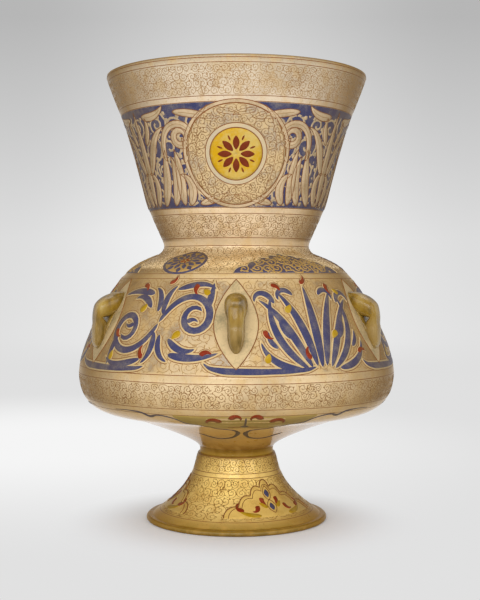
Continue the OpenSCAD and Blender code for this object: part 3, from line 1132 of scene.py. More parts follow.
@dataclass
class Paint:
    """Strokes laid on one wall, gathered into pieces of enamel."""

    skin: Skin
    slot: str

    def ribbon(self, strokes: Strokes, relief: Relief) -> np.ndarray:
        """Ribbons along strokes: the cross section carried along each path, square to it on the wall.

        Args:
            strokes: strokes on the wall.
            relief: the cross section, whose height shrinks where a stroke runs thin.
        Returns:
            Points of shape (strokes, points, places across, 3).
        """
        thin_at, least, thinnest = 0.4, 0.25, 0.02
        angle, s = strokes.path[..., 0], strokes.path[..., 1]
        half = np.maximum(strokes.half, thinnest)
        radius = self.skin.radius(s)
        along, up = np.gradient(angle, axis=1) * radius, np.gradient(s, axis=1)
        size = np.maximum(np.hypot(along, up), TINY)
        across, lift = np.array(relief.value, float).T
        grow = np.clip(half / (thin_at * half.max(axis=1, keepdims=True)), least, 1)[..., None]
        side = across * half[..., None] * MM
        return self.skin.points(
            angle[..., None] - side * (up / size / radius)[..., None],
            s[..., None] + side * (along / size)[..., None],
            np.where(lift > 0, lift * grow, lift) * MM,
        )

    def dress(self, name: str, grids: Sequence[np.ndarray], finish: Finish, around: bool = False,
              turned: bool = False) -> None:
        """Makes one piece from grids of points on the wall.

        Args:
            name: the piece's name.
            grids: arrays of points of shape (grids, rows, columns, 3).
            finish: its finish.
            around: joins each grid's last column to its first.
            turned: columns run left where rows run up, so the faces are turned over.
        """
        starts = np.cumsum([0] + [grid.size // 3 for grid in grids])
        quads = [grid_quads(grid.shape[:-1], around, first=start) for grid, start in zip(grids, starts)]
        order = [0, 3, 2, 1] if turned else [0, 1, 2, 3]
        points = np.concatenate([grid.reshape(-1, 3) for grid in grids])
        new_piece(name, points, [np.concatenate(quads)[:, order]], finish, LAMP)

    def piece(self, name: str, sets: Sequence[Strokes], relief: Relief, finish: Finish) -> None:
        """Makes one piece from sets of strokes on the wall."""
        self.dress(name, [self.ribbon(strokes, relief) for strokes in sets], finish, turned=True)

    def rings(self, name: str, heights: Sequence[float], width: float, finish: Finish,
              columns: int = 224) -> None:
        """Lines all the way round: the cross section carried round the axis.

        Args:
            name: the piece's name.
            heights: heights of the lines.
            width: width of a line.
            finish: its finish.
            columns: points round the axis.
        """
        across, lift = np.array(Relief.HAIR.value, float).T[..., None] * MM
        middle = np.array([self.skin.at_height(height) for height in heights])[:, None, None]
        angle = np.arange(columns) * TURN / columns
        self.dress(name, [self.skin.points(angle, middle + across * width / 2, lift)], finish, around=True)

    def discs(self, name: str, place: Place, inner: float, outer: float, lift: float, finish: Finish,
              stretch: float = 1.0) -> None:
        """Round patches or rings of enamel: polar grids laid on the wall, their edges sunk into it.

        Args:
            name: the piece's name.
            place: angles in degrees and the height of the middles.
            inner: inner radius.
            outer: outer radius.
            lift: thickness of the enamel.
            finish: its finish.
            stretch: how much wider than high it is.
        """
        columns, rows, slope = 96, 9, 0.15
        s = self.skin.at_height(place[1])
        turn = np.arange(columns) * TURN / columns
        flat = np.linspace(inner + slope, outer - slope, rows)
        out = np.concatenate([[inner], flat, [outer]])[:, None] * MM
        rise = np.concatenate([[SUNK], np.full(rows, lift), [SUNK]])[:, None] * MM
        angle = np.radians(place[0])[:, None, None] + out * np.sin(turn) * stretch / self.skin.radius(s)
        self.dress(name, [self.skin.points(angle, s + out * np.cos(turn), rise)], finish, around=True)

    def sheet(self, name: str, edges: Strokes, place: Place, lift: float, finish: Finish) -> None:
        """Fills the room between two flat lines, row by row from the first to the second, its edges sunk.

        Args:
            name: the piece's name.
            edges: two strokes that run the same way, the second to the left of the first.
            place: angles in degrees and the height of the strokes' origin.
            lift: thickness of the enamel.
            finish: its finish.
        """
        rows, slope = 8, 0.02
        share = np.concatenate([[0], np.linspace(slope, 1 - slope, rows), [1]])[:, None, None]
        path = edges.path[0] * (1 - share) + edges.path[1] * share
        rise = np.where((share == 0) | (share == 1), SUNK, lift)[..., 0] * MM
        laid = Strokes(path, np.zeros(path.shape[:2])).on_panels(self.skin, *place).path
        angle, s = np.moveaxis(laid.reshape(len(place[0]), *path.shape), -1, 0)
        self.dress(name, [self.skin.points(angle, s, rise)], finish)

    def under_arch(self, name: str, arch: Strokes, place: Place, lift: float, finish: Finish) -> None:
        """Fills the room between an arch and the straight line between its feet."""
        self.sheet(name, joined([arch.scaled(1, 0), arch]), place, lift, finish)

    def scroll_band(self, name: str, low: float, high: float, cell: float, finish: Finish,
                    line: float = 0.5) -> None:
        """Fills a band between two heights with dense fine scrolls.

        Args:
            name: the piece's name.
            low: lower height.
            high: upper height.
            cell: wanted distance between spirals.
            finish: the lines' finish.
            line: width of the lines.
        """
        margin = 0.5
        tall = (self.skin.at_height(high) - self.skin.at_height(low)) / MM - 2 * margin
        length = self.skin.girth((low + high) / 2)
        fine = [x.moved(0, margin) for x in dense_scroll(length, tall, cell, line)]
        self.piece(name, [x.on_band(self.skin, low, length) for x in fine], Relief.HAIR, finish)

    def outlined(self, name: str, strokes: Strokes, body: Finish, edge: Optional[Finish], line: Finish,
                 edge_width: float = 1.0, line_width: float = 0.45, relief: Relief = Relief.ENAMEL) -> None:
        """Bold strokes with a pale edge and a thin line round it, one over the other.

        Args:
            name: the piece's name, which the edge's and the line's begin with.
            strokes: strokes on the wall.
            body: finish of the strokes.
            edge: finish of the edge, or none for no edge.
            line: finish of the line.
            edge_width: how far the edge shows.
            line_width: how far the line shows.
            relief: the strokes' cross section.
        """
        margin = edge_width + line_width if edge else line_width
        self.piece(f"{name}_line", [strokes.wider(margin)], Relief.UNDER, line)
        if edge:
            self.piece(f"{name}_edge", [strokes.wider(edge_width)], Relief.MIDDLE, edge)
        self.piece(name, [strokes], relief, body)


@dataclass(frozen=True)
class TurnedGlass:
    """A closed glass wall turned round the axis: up its outside and, where it has one, down its inside.

    Both ends of its outline meet the axis in fans, or each other where it is a ring, open through its middle.
    The steps are the distances between points along the outside and the inside.
    """

    name: str
    node: str
    finish: Finish
    columns: int
    steps: tuple[float, ...]
    body: str = LAMP
    slot: str = GILDED
    ring: bool = False

    def build(self) -> Skin:
        """Turns the solid's outline into a smooth wall that stands for it.

        Returns:
            The wall's outer skin.
        """
        skins = [
            Skin.along(wall_outline(self.node, side, self.ring and side is Side.OUTER), step * MM)
            for side, step in zip(Side, self.steps)
        ]
        r = np.concatenate([skins[0].r, *(skin.r[::-1] for skin in skins[1:])])[:, None]
        z = np.concatenate([skins[0].z, *(skin.z[::-1] for skin in skins[1:])])[:, None]
        angle = np.arange(self.columns) * TURN / self.columns
        rings = np.stack(np.broadcast_arrays(r * np.sin(angle), -r * np.cos(angle), z), axis=-1)
        points = rings.reshape(-1, 3)
        faces = [grid_quads((len(r), self.columns), True, self.ring)]
        if not self.ring:
            bottom, count = np.arange(self.columns), len(points)
            top = bottom + count - self.columns
            points = np.concatenate([points, [[0, 0, z[0, 0]], [0, 0, z[-1, 0]]]])
            faces.append(np.concatenate([pole_fan(bottom, count, False), pole_fan(top, count + 1, True)]))
        piece = new_piece(self.name, points, faces, self.finish, self.body)
        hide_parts(self.node)
        return skins[0]


VESSEL = TurnedGlass("glass_vessel", "lamp_body", GLASS, columns=208, steps=(1.6, 3.0), slot=ENAMELLED)
WAD = TurnedGlass("glass_wad", "joint_wad", WAD_GLASS, columns=128, steps=(0.6,))
FOOT = TurnedGlass("glass_foot", "foot", GILT_GLASS, columns=224, steps=(0.8, 2.0), ring=True)
CUP = TurnedGlass("thin_cup", "oil_cup", CLEAR, columns=96, steps=(1.2, 1.2), body="cup", slot="clear_glass")


@dataclass
class LoopHandles:
    """Six loops of drawn glass: a thick lobe on the wall, a strap that leaves an eye, and a drawn heel.

    Each row holds a distance out, a drop below the loop's top, whether that distance is in from the loop's
    outer face or out from the wall, and the half sizes of the section in and across the loop's plane.
    """

    names: tuple = ("front", "front_right", "back_right", "back", "back_left", "front_left")
    loop_rows: tuple = (
        (-5.0, 2.9, False, 3.0, 4.5),
        (1.2, 8.0, False, 7.4, 8.3),
        (6.2, 14.6, True, 6.8, 7.6),
        (2.8, 20.0, True, 3.5, 6.0),
        (4.2, 25.6, True, 5.4, 6.0),
        (3.0, 33.2, False, 5.3, 6.1),
        (1.4, 39.8, False, 3.7, 4.3),
        (-1.4, 43.8, False, 1.2, 1.4),
    )
    pad_rows: tuple = (
        (-1.5, 9.0, False, 0.9, 3.0),
        (0.0, 14.0, False, 1.4, 6.8),
        (0.0, 20.0, False, 1.4, 6.4),
        (0.2, 29.0, False, 1.5, 6.2),
        (-1.4, 37.0, False, 0.8, 3.0),
    )
    around: int = 28
    squareness: float = 2.3
    step: float = 0.9

    def build(self, skin: Skin) -> None:
        """Draws one loop and the pad of glass behind its eye, and turns them to the six places.

        Args:
            skin: the wall's outer skin.
        """
        loop = self._drawn(self.loop_rows, skin, 0)
        pad = self._drawn(self.pad_rows, skin, len(loop[0]))
        points, quads, fans = (np.concatenate(pair) for pair in zip(loop, pad))
        for i, name in enumerate(self.names):
            a = i * TURN / len(self.names)
            turn = np.array([[math.sin(a), -math.cos(a), 0], [math.cos(a), math.sin(a), 0], [0, 0, 1]])
            piece = new_piece(f"loop_{name}", points @ turn, [quads, fans], AMBER, LAMP)
            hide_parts(f"handle_{name}")

    def _drawn(self, rows: tuple, skin: Skin, first: int) -> tuple[np.ndarray, np.ndarray, np.ndarray]:
        """Sweeps one bar of glass down the wall: rounded squares across a smooth curve through its rows.

        Args:
            rows: the bar's rows, as the class describes them.
            skin: the bowl's wall.
            first: index of the bar's first point.
        Returns:
            The distances out, across and up, the bar's quads, and the triangles that close its ends.
        """
        low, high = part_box("handle_front")
        table = np.array([row[:2] + row[3:] for row in rows]) * MM
        from_face = np.array([row[2] for row in rows])
        z = high[2] - table[:, 1]
        wall = np.interp(z, skin.z, skin.r)
        r = np.where(from_face, -low[1] - table[:, 0], wall + table[:, 0])
        path = smooth_curve(np.stack([r, z, table[:, 2], table[:, 3]], axis=-1), self.step * MM)
        way = np.gradient(path[:, :2], axis=0)
        way /= np.linalg.norm(way, axis=1, keepdims=True)
        phase = np.arange(self.around) * TURN / self.around
        bent = [np.sign(f) * np.abs(f) ** (2 / self.squareness) for f in (np.cos(phase), np.sin(phase))]
        deep = path[:, 2:3] * bent[0]
        rings = np.stack([
            path[:, :1] - way[:, 1:] * deep,
            path[:, 3:4] * bent[1],
            path[:, 1:2] + way[:, :1] * deep,
        ], axis=-1).reshape(-1, 3)
        ends = np.insert(path[[0, -1], :2], 1, 0.0, axis=1)
        last = len(rings) - self.around
        ring = first + np.arange(self.around)
        pole = first + len(rings)
        fans = np.concatenate([pole_fan(ring, pole, False), pole_fan(ring + last, pole + 1, True)])
        return np.concatenate([rings, ends]), grid_quads((len(path), self.around), True, first=first), fans


@dataclass
class OilLamp:
    """What stands loose inside: a thin glass cup, its brass holder and tube, and a twisted wick."""

    strands: int = 3
    twists: float = 7.0
    around: int = 10
    steps: int = 160
    strand_share: float = 0.52
    end_slope: float = 60.0
    end_share: float = 0.15

    def build(self) -> None:
        """Dresses the cup, the holder, the tube and the wick."""
        CUP.build()
        for node in ("wick_holder", "wick_tube"):
            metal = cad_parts[node]
            metal.data.materials.clear()
            metal.data.materials.append(BRASS.material())
        self._wick()

    def _wick(self) -> None:
        """Strands whose middles wind round the axis as helices, each a tube of circles across its helix."""
        low, high = (np.array(corner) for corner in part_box("wick"))
        radius, tall = (high[0] - low[0]) / 2, high[2] - low[2]
        thick = radius * self.strand_share
        t = np.linspace(0, 1, self.steps)
        turn = (TURN * (self.twists * t + np.arange(self.strands)[:, None] / self.strands))[..., None]
        ends = np.sqrt(np.clip((1 - t) * self.end_slope, 0, 1) * np.clip(t * self.end_slope, 0, 1))
        swell = (thick * np.maximum(ends, self.end_share))[:, None]
        phase = np.arange(self.around) * TURN / self.around
        reach, across = (radius - thick) + swell * np.cos(phase), swell * np.sin(phase)
        lean = math.atan2(TURN * self.twists * (radius - thick), tall)
        x = reach * np.cos(turn) - across * math.cos(lean) * np.sin(turn)
        y = reach * np.sin(turn) + across * math.cos(lean) * np.cos(turn)
        z = np.clip((low[2] + tall * t)[:, None] - across * math.sin(lean), low[2], high[2])
        tubes = np.stack(np.broadcast_arrays(x, y, z), axis=-1)
        poles = tubes[:, [0, -1]].mean(axis=2).reshape(-1, 3)
        count = math.prod(tubes.shape[:3])
        rings = np.arange(count).reshape(tubes.shape[:3])[:, [0, -1]].reshape(-1, self.around)
        fans = [pole_fan(ring, count + i, i % 2 == 1) for i, ring in enumerate(rings)]
        points = np.concatenate([tubes.reshape(-1, 3), poles])
        faces = [grid_quads(tubes.shape[:3], True), np.concatenate(fans)]
        finish = CottonYarn("charred_cotton", low=float(low[2]), high=float(high[2]))
        piece = new_piece("twisted_wick", points, faces, finish, "wick")
        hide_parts("wick")


@dataclass
class NeckPaint:
    """Neck: fine scrolls under the rim and at the waist, and a blue band with leaves and three roundels."""

    lines: tuple = (356.4, 353.0, 330.0, 326.0, 249.0, 244.6, 226.4, 220.4)
    blue: tuple = (249.4, 325.6)
    roundel_angles: tuple = (0.0, 120.0, 240.0)
    roundel_height: float = 288.3
    roundel_radius: float = 41.2
    vine_margin: float = 2.0
    leaf_foot: float = -38.8
    vein_half: float = 0.2
    vein_ends: tuple = (5, -6)
    lance_rows: tuple = ((0, 1, 90, 76, 0, 0, 8.5),)
    leaf_rows: tuple = (
        (5, 1, 66, 32, -20, 130, 7.2),
        (4, 26, 56, 46, 70, -110, 7.6),
        (15, 1, 50, 46, 90, -60, 8.6),
        (27, 36, 98, 92, -40, -560, 5.6, Taper.VINE),
        (28, 1, 60, 40, 50, 0, 8.0),
        (39, 1, 96, 44, -30, 40, 8.2),
        (44, 1, 50, 30, 80, 40, 7.4),
        (66, 2, 132, 82, -84, 0, 7.0),
        (54, 2, 14, 28, -10, 30, 5.6),
        (9, 72, -14, 26, 40, 30, 6.4),
        (40, 73, -6, 34, -16, 10, 6.0),
        (7, 50, 66, 22, -20, 60, 5.4),
        (72, 73, -6, 16, -10, -10, 4.2),
        (72, 5, 6, 16, 10, 10, 4.2),
        (44, 34, 60, 20, 60, 0, 5.0),
    )

    def paint(self, skin: Skin) -> None:
        """Paints the neck on the vessel's wall.

        Args:
            skin: the wall's outer skin.
        """
        paint = Paint(skin, ENAMELLED)
        paint.rings("neck_lines", self.lines, width=0.62, finish=OUTLINE)
        paint.scroll_band("neck_upper_scrolls", low=330.6, high=352.4, cell=5.6, finish=SOFT_LINE, line=0.4)
        paint.scroll_band("neck_lower_scrolls", low=227.0, high=244.0, cell=5.4, finish=FINE_LINE, line=0.4)
        self._blue_ground(paint)
        self._leaves(paint)
        self._roundels(paint)

    def _blue_ground(self, paint: Paint) -> None:
        """Blue sheets between the roundels: each row of a grid runs from one circle's edge to the next's.

        Args:
            paint: the paint on this wall.
        """
        rows, columns, lift, lap = 56, 90, 0.08, 0.6
        skin = paint.skin
        s = np.linspace(*(skin.at_height(height) for height in self.blue), rows)[:, None]
        off = (s - skin.at_height(self.roundel_height)) / MM
        chord = np.sqrt(np.maximum((self.roundel_radius - lap) ** 2 - off**2, 0)) * MM / skin.radius(s)
        room = TURN / len(self.roundel_angles) - 2 * chord
        angle = np.radians(self.roundel_angles)[:, None, None] + chord + room * np.linspace(0, 1, columns)
        paint.dress("neck_blue_ground", [skin.points(angle, s, lift * MM)], BLUE)

    def _leaves(self, paint: Paint) -> None:
        """Vines all the way round, and over them leaves between the roundels, with their edges and veins.

        Args:
            paint: the paint on this wall.
        """
        low, high = self.blue
        middle = (low + high) / 2
        length = paint.skin.girth(middle)
        vines = dense_scroll(length, height=72.0, cell=18.0, line=2.1, seed=5)
        bands = [x.moved(0, self.vine_margin).on_band(paint.skin, low, length) for x in vines]
        paint.piece("neck_vines", bands, Relief.UNDER, VINE_TAN)
        leaf = joined([volutes(self.leaf_rows).mirrored(), volutes(self.lance_rows)]).moved(0, self.leaf_foot)
        spine = leaf.path[:, slice(*self.vein_ends)]
        vein = Strokes(spine, np.full(spine.shape[:2], self.vein_half))
        between = [angle + 180.0 / len(self.roundel_angles) for angle in self.roundel_angles]
        for name, strokes, relief, finish in (
            ("neck_leaves", leaf, Relief.MIDDLE, RESERVE),
            ("neck_leaf_edges", leaf.edges(line=0.55), Relief.OVER, OUTLINE),
            ("neck_leaf_veins", vein, Relief.OVER, FAINT_LINE),
        ):
            paint.piece(name, [strokes.on_panels(paint.skin, between, middle)], relief, finish)

    def _roundels(self, paint: Paint) -> None:
        """Roundels: rings of cream and fine scrolls round a yellow disc with an eight-leaved rosette.

        Args:
            paint: the paint on this wall.
        """
        place = (self.roundel_angles, self.roundel_height)
        for name, inner, outer, lift, finish in (
            ("roundel_rim_line", 0.2, 41.6, 0.22, OUTLINE),
            ("roundel_rim", 38.7, 41.1, 0.30, RESERVE),
            ("roundel_ground", 23.6, 38.1, 0.28, GOLD),
            ("roundel_ring", 20.1, 23.2, 0.30, PALE),
            ("roundel_disc", 0.2, 19.6, 0.28, DISC),
        ):
            paint.discs(name, place, inner, outer, lift, finish)
        inner, tall, length = 24.2, 13.4, TURN * 31.0
        fine = dense_scroll(length, tall, cell=6.7, line=0.42)
        lines = [x.ringed(length, inner).on_panels(paint.skin, *place) for x in fine]
        paint.piece("roundel_scrolls", lines, Relief.TOP, FINE_LINE)
        petals = star(8, start=2.6, length=12.0, width=6.4, points=12)
        darts = star(8, start=10.6, length=5.0, width=1.8, points=12, between=True)
        flower = joined([petals, darts]).on_panels(paint.skin, *place)
        paint.piece("roundel_rosette", [flower], Relief.TOP, ROSETTE)


@dataclass
class BowlPaint:
    """Bowl: gold scrolls on the shoulder, bold blue leaves between the handles, scrolls and lines below."""

    lines: tuple = (198.8, 195.2, 126.2, 120.4, 101.6, 96.8)
    low: float = 126.2
    panel_middle: float = 39.0
    scroll_rows: tuple = (
        (0, 39, 64, 118, -78, -400, 6.6, Taper.VINE),
        (10, 67, 15, 42, 20, -80, 6.4),
        (41, 50, 70, 26, 20, 0, 6.6, Taper.BLADE),
        (12, 27, -50, 28, 30, 60, 6.4),
        (14, 15, -14, 44, 30, 10, 7.0, Taper.BLADE),
        (4, 30, -100, 26, 50, 40, 5.6),
        (2, 46, 100, 28, -30, -40, 6.0),
        (26, 40, 40, 12, -60, -60, 4.6, Taper.COMMA),
    )
    palm_rows: tuple = (
        (4, 6, 79, 68, -6, -30, 8.0),
        (8, 5, 60, 70, 25, -60, 7.6),
        (11, 4, 34, 70, 50, 30, 7.0),
        (16, 4, 4, 42, 30, 50, 6.6),
        (14, 62, 50, 24, -70, -120, 5.4),
        (33, 55, 66, 28, -50, -140, 5.8),
        (23, 27, 50, 22, 20, 40, 5.2),
        (34, 20, 30, 16, 40, 40, 4.8),
    )
    stem_rows: tuple = ((0, 5, 90, 68, 0, 0, 8.6),)
    crescent_rows: tuple = (
        (-33, 70, 30, 13, -150, 0, 5.0, Taper.COMMA),
        (-8, 12, 160, 13, -140, 0, 5.0, Taper.COMMA),
        (31, 72, 210, 13, 140, 0, 5.0, Taper.COMMA),
        (40, 14, 70, 12, -140, 0, 4.8, Taper.COMMA),
        (-43, 34, 250, 12, 140, 0, 4.8, Taper.COMMA),
        (-2, 74, -20, 12, 140, 0, 4.6, Taper.COMMA),
    )
    drop_rows: tuple = (
        (-24, 48, 30, 9, 40, 0, 6.2),
        (22, 32, 200, 9, 40, 0, 6.2),
        (42, 62, 120, 8, 40, 0, 5.8),
        (-44, 9, 60, 8, 30, 0, 5.8),
    )
    sweep_knots: tuple = (
        (-25, 10, 0.3), (-20, 6, 1.5), (-12, 4, 2.6), (4, 3.2, 2.9),
        (24, 3, 2.6), (44, 3.4, 2.2), (56, 4.4, 1.5), (62, 6, 0.3),
    )
    handle_angles: tuple = (0.0, 60.0, 120.0, 180.0, 240.0, 300.0)
    scroll_angles: tuple = (-30.0, 90.0, 210.0)
    palm_angles: tuple = (30.0, 150.0, 270.0)
    reserve_height: float = 130.6
    medallion_height: float = 208.6
    medallion_stretch: float = 1.06
    cartouche_height: float = 199.4
    cartouche_size: tuple = (98.0, 26.5)
    field_angles: tuple = (3.5, 123.5, 243.5)
    field_height: float = 90.0
    field_knots: tuple = (
        (99, 13.5, 0.3), (84, 14, 0.5), (74, 12.6, 1.0), (68, 9, 1.5), (63, 11, 0.8), (56, 10.4, 0.7),
        (49, 7, 0.6), (43.5, 0, 0.8), (35, -4, 0.6), (30.5, -15, 0.8), (26, -26, 0.7), (17, -29, 0.8),
        (9, -33, 1.2), (4.5, -43, 2.0), (10, -55, 1.3), (26, -61, 0.9), (43, -59, 0.9), (52, -52, 1.2),
        (57, -47, 0.4),
    )
    wash_top: float = 12.0
    wash_knots: tuple = ((50, 10), (44, 2), (37, -3), (32, -12), (28, -22), (18, -26), (0, -25))
    curl_rows: tuple = (
        (10, 8, 84, 12.5, 190, 30, 4.6, Taper.COMMA),
        (18, 3, 84, 17, -190, -20, 5.2, Taper.COMMA),
        (2.5, -13, -50, 14, 60, 0, 5.0),
    )
    bud_rows: tuple = (
        (0, 11, 270, 22, 0, 0, 1.8),
        (0, -4, 270, 16, 0, 0, 7.0),
    )

    def paint(self, skin: Skin) -> None:
        """Paints the bowl on the vessel's wall.

        Args:
            skin: the wall's outer skin.
        """
        paint = Paint(skin, ENAMELLED)
        paint.rings("bowl_lines", self.lines, width=0.62, finish=OUTLINE)
        paint.scroll_band("shoulder_scrolls", low=199.6, high=219.8, cell=7.0, finish=FINE_LINE, line=0.4)
        paint.scroll_band("bowl_low_scrolls", low=102.2, high=119.8, cell=6.8, finish=FINE_LINE, line=0.44)
        paint.scroll_band("bowl_ground_scrolls", low=127.0, high=194.6, cell=10.0, finish=FAINT_LINE)
        self._reserves(paint)
        self._leaves(paint)
        self._accents(paint)
        self._medallions(paint)
        self._cartouches(paint)
        self._underside(paint)

    def _reserves(self, paint: Paint) -> None:
        """Pointed cream reserves behind the handles, each in a red line.

        Args:
            paint: the paint on this wall.
        """
        place = (self.handle_angles, self.reserve_height)
        sides = almond(width=36.0, height=72.0, line=0.8)
        paint.sheet("handle_reserves", sides, place, lift=0.14, finish=CLOUDED)
        paint.piece("handle_reserve_lines", [sides.on_panels(paint.skin, *place)], Relief.ENAMEL, OUTLINE)

    def _leaves(self, paint: Paint) -> None:
        """Bold blue scrolls and palms, in turn between the handles, and a long low leaf under each handle.

        Args:
            paint: the paint on this wall.
        """
        scroll = volutes(self.scroll_rows).half_turned(self.panel_middle)
        palm = joined([volutes(self.palm_rows).mirrored(), volutes(self.stem_rows)])
        bold = joined([
            scroll.on_panels(paint.skin, self.scroll_angles, self.low),
            palm.on_panels(paint.skin, self.palm_angles, self.low),
        ])
        sweep = drawn(self.sweep_knots, step=2.0).on_panels(paint.skin, self.handle_angles, self.low)
        for name, strokes in (("bowl_leaves", bold), ("bowl_sweeps", sweep)):
            paint.outlined(name, strokes, BLUE, CREAM, OUTLINE)

    def _accents(self, paint: Paint) -> None:
        """Red crescents and yellow drops between the blue leaves.

        Args:
            paint: the paint on this wall.
        """
        panels = (*self.scroll_angles, *self.palm_angles)
        for name, rows, points, finish, edge, line in (
            ("red_crescents", self.crescent_rows, 12, RED, 0.5, 0.4),
            ("yellow_drops", self.drop_rows, 10, YELLOW, 0.4, 0.3),
        ):
            strokes = volutes(rows, points).on_panels(paint.skin, panels, self.low)
            paint.outlined(name, strokes, finish, CREAM, OUTLINE, edge, line, Relief.TOP)

    def _medallions(self, paint: Paint) -> None:
        """Round medallions on the shoulder, over the scrolls: discs with rounds of leaves.

        Args:
            paint: the paint on this wall.
        """
        place = (self.scroll_angles, self.medallion_height)
        for name, inner, outer, lift, finish in (
            ("medallion_line", 0.2, 17.0, 0.12, BLUE),
            ("medallion_ground", 0.2, 15.0, 0.20, OLD_GOLD),
            ("medallion_ring", 4.0, 5.2, 0.30, BLUE),
        ):
            paint.discs(name, place, inner, outer, lift, finish, self.medallion_stretch)
        for name, petals, finish in (
            ("medallion_leaves", star(10, start=5.0, length=6.8, width=4.4), BLUE),
            ("medallion_tips", star(10, start=9.4, length=5.8, width=4.6, between=True), BLUE),
            ("medallion_darts", star(5, start=0.6, length=3.4, width=1.8), RED),
        ):
            wide = petals.scaled(self.medallion_stretch, 1.0)
            paint.piece(name, [wide.on_panels(paint.skin, *place)], Relief.TOP, finish)

    def _cartouches(self, paint: Paint) -> None:
        """Lobed blue cartouches on the shoulder, over the palms, filled with gold vines.

        Args:
            paint: the paint on this wall.
        """
        place = (self.palm_angles, self.cartouche_height)
        width, height = self.cartouche_size
        arch = lobed_arch(width, height, lobes=9, bulge=3.0, line=1.1)
        paint.under_arch("cartouche_ground", arch, place, lift=0.12, finish=BLUE)
        paint.piece("cartouche_line", [arch.on_panels(paint.skin, *place)], Relief.TOP, CREAM)
        fine = dense_scroll(width, height=26.0, cell=9.0, line=1.35, seed=3)
        for name, strokes in zip(("cartouche_vines", "cartouche_buds"), fine):
            inside = strokes.moved(-width / 2, 0.8).under_arch(width, height, margin=0.6)
            paint.piece(name, [inside.on_panels(paint.skin, *place)], Relief.ENAMEL, OLD_GOLD)

    def _underside(self, paint: Paint) -> None:
        """Three lobed fields, their lines ending in hooks by the foot, with red curls and a washed middle.

        Args:
            paint: the paint on this wall.
        """
        place, step = (self.field_angles, self.field_height), 1.6
        lines = (drawn(self.field_knots, step).mirrored(), volutes(self.bud_rows, points=16))
        paint.piece("underside_lines", [x.on_panels(paint.skin, *place) for x in lines], Relief.ENAMEL, SLATE)
        right = smooth_curve(np.array(self.wash_knots, float), step)
        low = np.concatenate([right * (-1, 1), right[-2::-1]])
        edges = Strokes(np.stack([low, low * (1, 0) + (0, self.wash_top)]), np.zeros((2, len(low))))
        paint.sheet("underside_fields", edges, place, lift=0.1, finish=OLIVE_WASH)
        red = volutes(self.curl_rows, points=16).mirrored()
        paint.outlined("underside_curls", red.on_panels(paint.skin, *place), RED, None, OUTLINE)


@dataclass
class FootPaint:
    """Foot: fine scrolls above and below a pair of lines, and three lobed cartouches with enamel accents."""

    lines: tuple = (53.2, 41.0, 37.7, 8.6)
    cartouche_angles: tuple = (33.0, 153.0, 273.0)
    cartouche_height: float = 11.0
    red_rows: tuple = (
        (8, 19, 290, 10, -120, 40, 4.8, Taper.COMMA),
        (15, 12, 250, 11, 110, 60, 4.8, Taper.COMMA),
        (27, 8, -10, 13, 60, 130, 4.4, Taper.COMMA),
    )
    yellow_rows: tuple = (
        (5, 9, 50, 9, -30, 0, 5.0),
        (13, 2, 4, 20, 10, 20, 5.0),
    )
    drops: tuple = ((0.0, 18.4), (0.0, 6.4))

    def paint(self, skin: Skin) -> None:
        """Paints the foot's wall.

        Args:
            skin: the wall's outer skin.
        """
        paint = Paint(skin, GILDED)
        paint.rings("foot_lines", self.lines, width=0.6, finish=OUTLINE)
        paint.scroll_band("foot_upper_scrolls", low=41.4, high=52.8, cell=5.8, finish=FOOT_LINE, line=0.36)
        paint.scroll_band("foot_lower_scrolls", low=9.2, high=37.2, cell=7.6, finish=FOOT_LINE, line=0.46)
        place = (self.cartouche_angles, self.cartouche_height)
        arches = [
            lobed_arch(width=88.0, height=29.0, lobes=7, bulge=5.0, line=0.9),
            lobed_arch(width=80.0, height=25.5, lobes=7, bulge=4.4, line=0.5),
        ]
        paint.under_arch("foot_cartouche_ground", arches[0], place, lift=0.14, finish=BRIGHT_GOLD)
        paint.piece("foot_cartouche_lines", [x.on_panels(skin, *place) for x in arches], Relief.TOP, OUTLINE)
        for name, rows, finish in (
            ("foot_crescents", self.red_rows, RED),
            ("foot_yellow_leaves", self.yellow_rows, YELLOW),
        ):
            strokes = volutes(rows, points=16).mirrored().on_panels(skin, *place)
            paint.outlined(name, strokes, finish, None, OUTLINE, line_width=0.35)
        cup, below = almond(width=8.6, height=13.0, line=0.6), 2.6
        cups = [cup.moved(x, y - below).on_panels(skin, *place) for x, y in self.drops]
        paint.piece("foot_drop_lines", cups, Relief.TOP, OUTLINE)
        upright = np.full(len(self.drops), TURN / 4)
        drops = leaves(np.array(self.drops), upright, length=7.4, width=5.2, points=10)
        paint.piece("foot_blue_drops", [drops.on_panels(skin, *place)], Relief.TOP, BLUE)


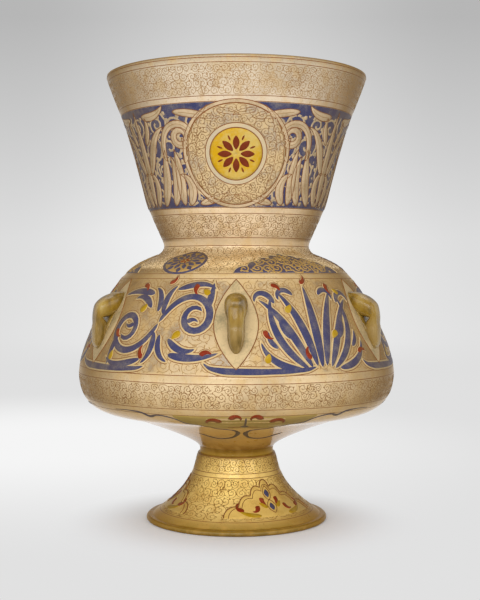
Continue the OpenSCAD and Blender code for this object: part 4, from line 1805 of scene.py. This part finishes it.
@dataclass
class Studio:
    """Pale sweep, soft lights and the camera at the photograph's place.

    Places are in metres, the focal length is in pixels and the sensor in millimetres.
    Each light has a name, a place, a side and a level.
    """

    picture: tuple = (480, 600)
    focal: float = 1142.0
    distance: float = 0.934
    eye_level: float = 0.198
    axis_pixel: float = 236.5
    horizon_pixel: float = 274.8
    back: float = 2.4
    sensor: float = 36.0
    air: Colour = (0.47, 0.47, 0.475, 1.0)
    seen_air: Colour = (0.76, 0.76, 0.76, 1.0)
    aim: tuple = (0.0, 0.0, 0.18)
    lights: tuple = (
        ("front_light", (-0.15, -1.6, 0.75), 0.8, 0.295),
        ("front_left_light", (-1.0, -1.4, 1.0), 1.0, 0.2),
        ("front_right_light", (1.0, -1.3, 0.8), 1.0, 0.205),
        ("top_light", (0.0, -0.2, 2.0), 1.6, 0.2),
    )

    def build(self) -> None:
        """Sets the sweep, the lights and the camera."""
        self._sweep()
        self._lights()
        self._camera()
        bpy.context.scene.view_settings.view_transform = "Standard"

    def _sweep(self) -> None:
        """Floor and backdrop: a flat, a quarter circle and an upright, drawn across."""
        radius, reach, tall, steps = 0.9, 3.0, 2.6, 24
        bend = np.linspace(0, math.pi / 2, steps)
        y = np.concatenate([[-reach], self.back - radius + radius * np.sin(bend), [self.back]])
        z = np.concatenate([[0.0], radius - radius * np.cos(bend), [tall]])
        x = np.linspace(-reach, reach, 9)
        points = np.stack(np.broadcast_arrays(x[None, :], y[:, None], z[:, None]), axis=-1)
        mesh = bpy.data.meshes.new("sweep")
        mesh.from_pydata(points.reshape(-1, 3).tolist(), [], grid_quads((len(y), len(x))).tolist())
        mesh.polygons.foreach_set("use_smooth", np.ones(len(mesh.polygons), bool))
        mesh.materials.append(StudioPaper("studio_paper").material())
        floor = bpy.data.objects.new("sweep", mesh)
        bpy.context.scene.collection.objects.link(floor)

    def _area(self, name: str, place: Sequence[float], size: float, level: float) -> None:
        """A square soft light that faces the lamp.

        Args:
            name: the light's name.
            place: its place in metres.
            size: its side in metres.
            level: its strength, 1 where it shows a facing surface at its own colour.
        """
        light = bpy.data.lights.new(name, "AREA")
        light.size = size
        away = np.array(place) - self.aim
        light.energy = level * math.pi**2 * float(away @ away)
        lamp = bpy.data.objects.new(name, light)
        lamp.location = place
        lamp.rotation_euler = lamp.location.copy().to_track_quat("Z", "Y").to_euler()
        bpy.context.scene.collection.objects.link(lamp)

    def _lights(self) -> None:
        """A pale world and four large soft lights."""
        world = bpy.data.worlds.new("studio_air")
        bpy.context.scene.world = world
        air = Shader(world)
        tones = (self.air, self.seen_air)
        lit, seen = (air.node("ShaderNodeBackground", inputs={"Color": tone}) for tone in tones)
        air.done(air.node("ShaderNodeMixShader", inputs={0: air.seen_ray(), 1: lit, 2: seen}))
        for row in self.lights:
            self._area(*row)

    def _camera(self) -> None:
        """Level camera; the shift puts the horizon on its own row of the picture."""
        wide, high = self.picture
        data = bpy.data.cameras.new("camera")
        data.sensor_width = self.sensor
        data.lens = self.focal * self.sensor / high
        data.shift_y = (self.horizon_pixel - high / 2) / high
        camera = bpy.data.objects.new("camera", data)
        off = (wide / 2 - self.axis_pixel) / self.focal * self.distance
        camera.location = (off, -self.distance, self.eye_level)
        camera.rotation_euler = (math.pi / 2, 0, 0)
        bpy.context.scene.collection.objects.link(camera)
        bpy.context.scene.camera = camera


def main() -> None:
    """Builds the lamp's pieces in order, then the studio."""
    logging.basicConfig(level=logging.INFO, format="%(name)s %(message)s")
    skin = VESSEL.build()
    WAD.build()
    NeckPaint().paint(skin)
    BowlPaint().paint(skin)
    FootPaint().paint(FOOT.build())
    LoopHandles().build(skin)
    OilLamp().build()
    Studio().build()


if __name__ == "__main__":
    main()
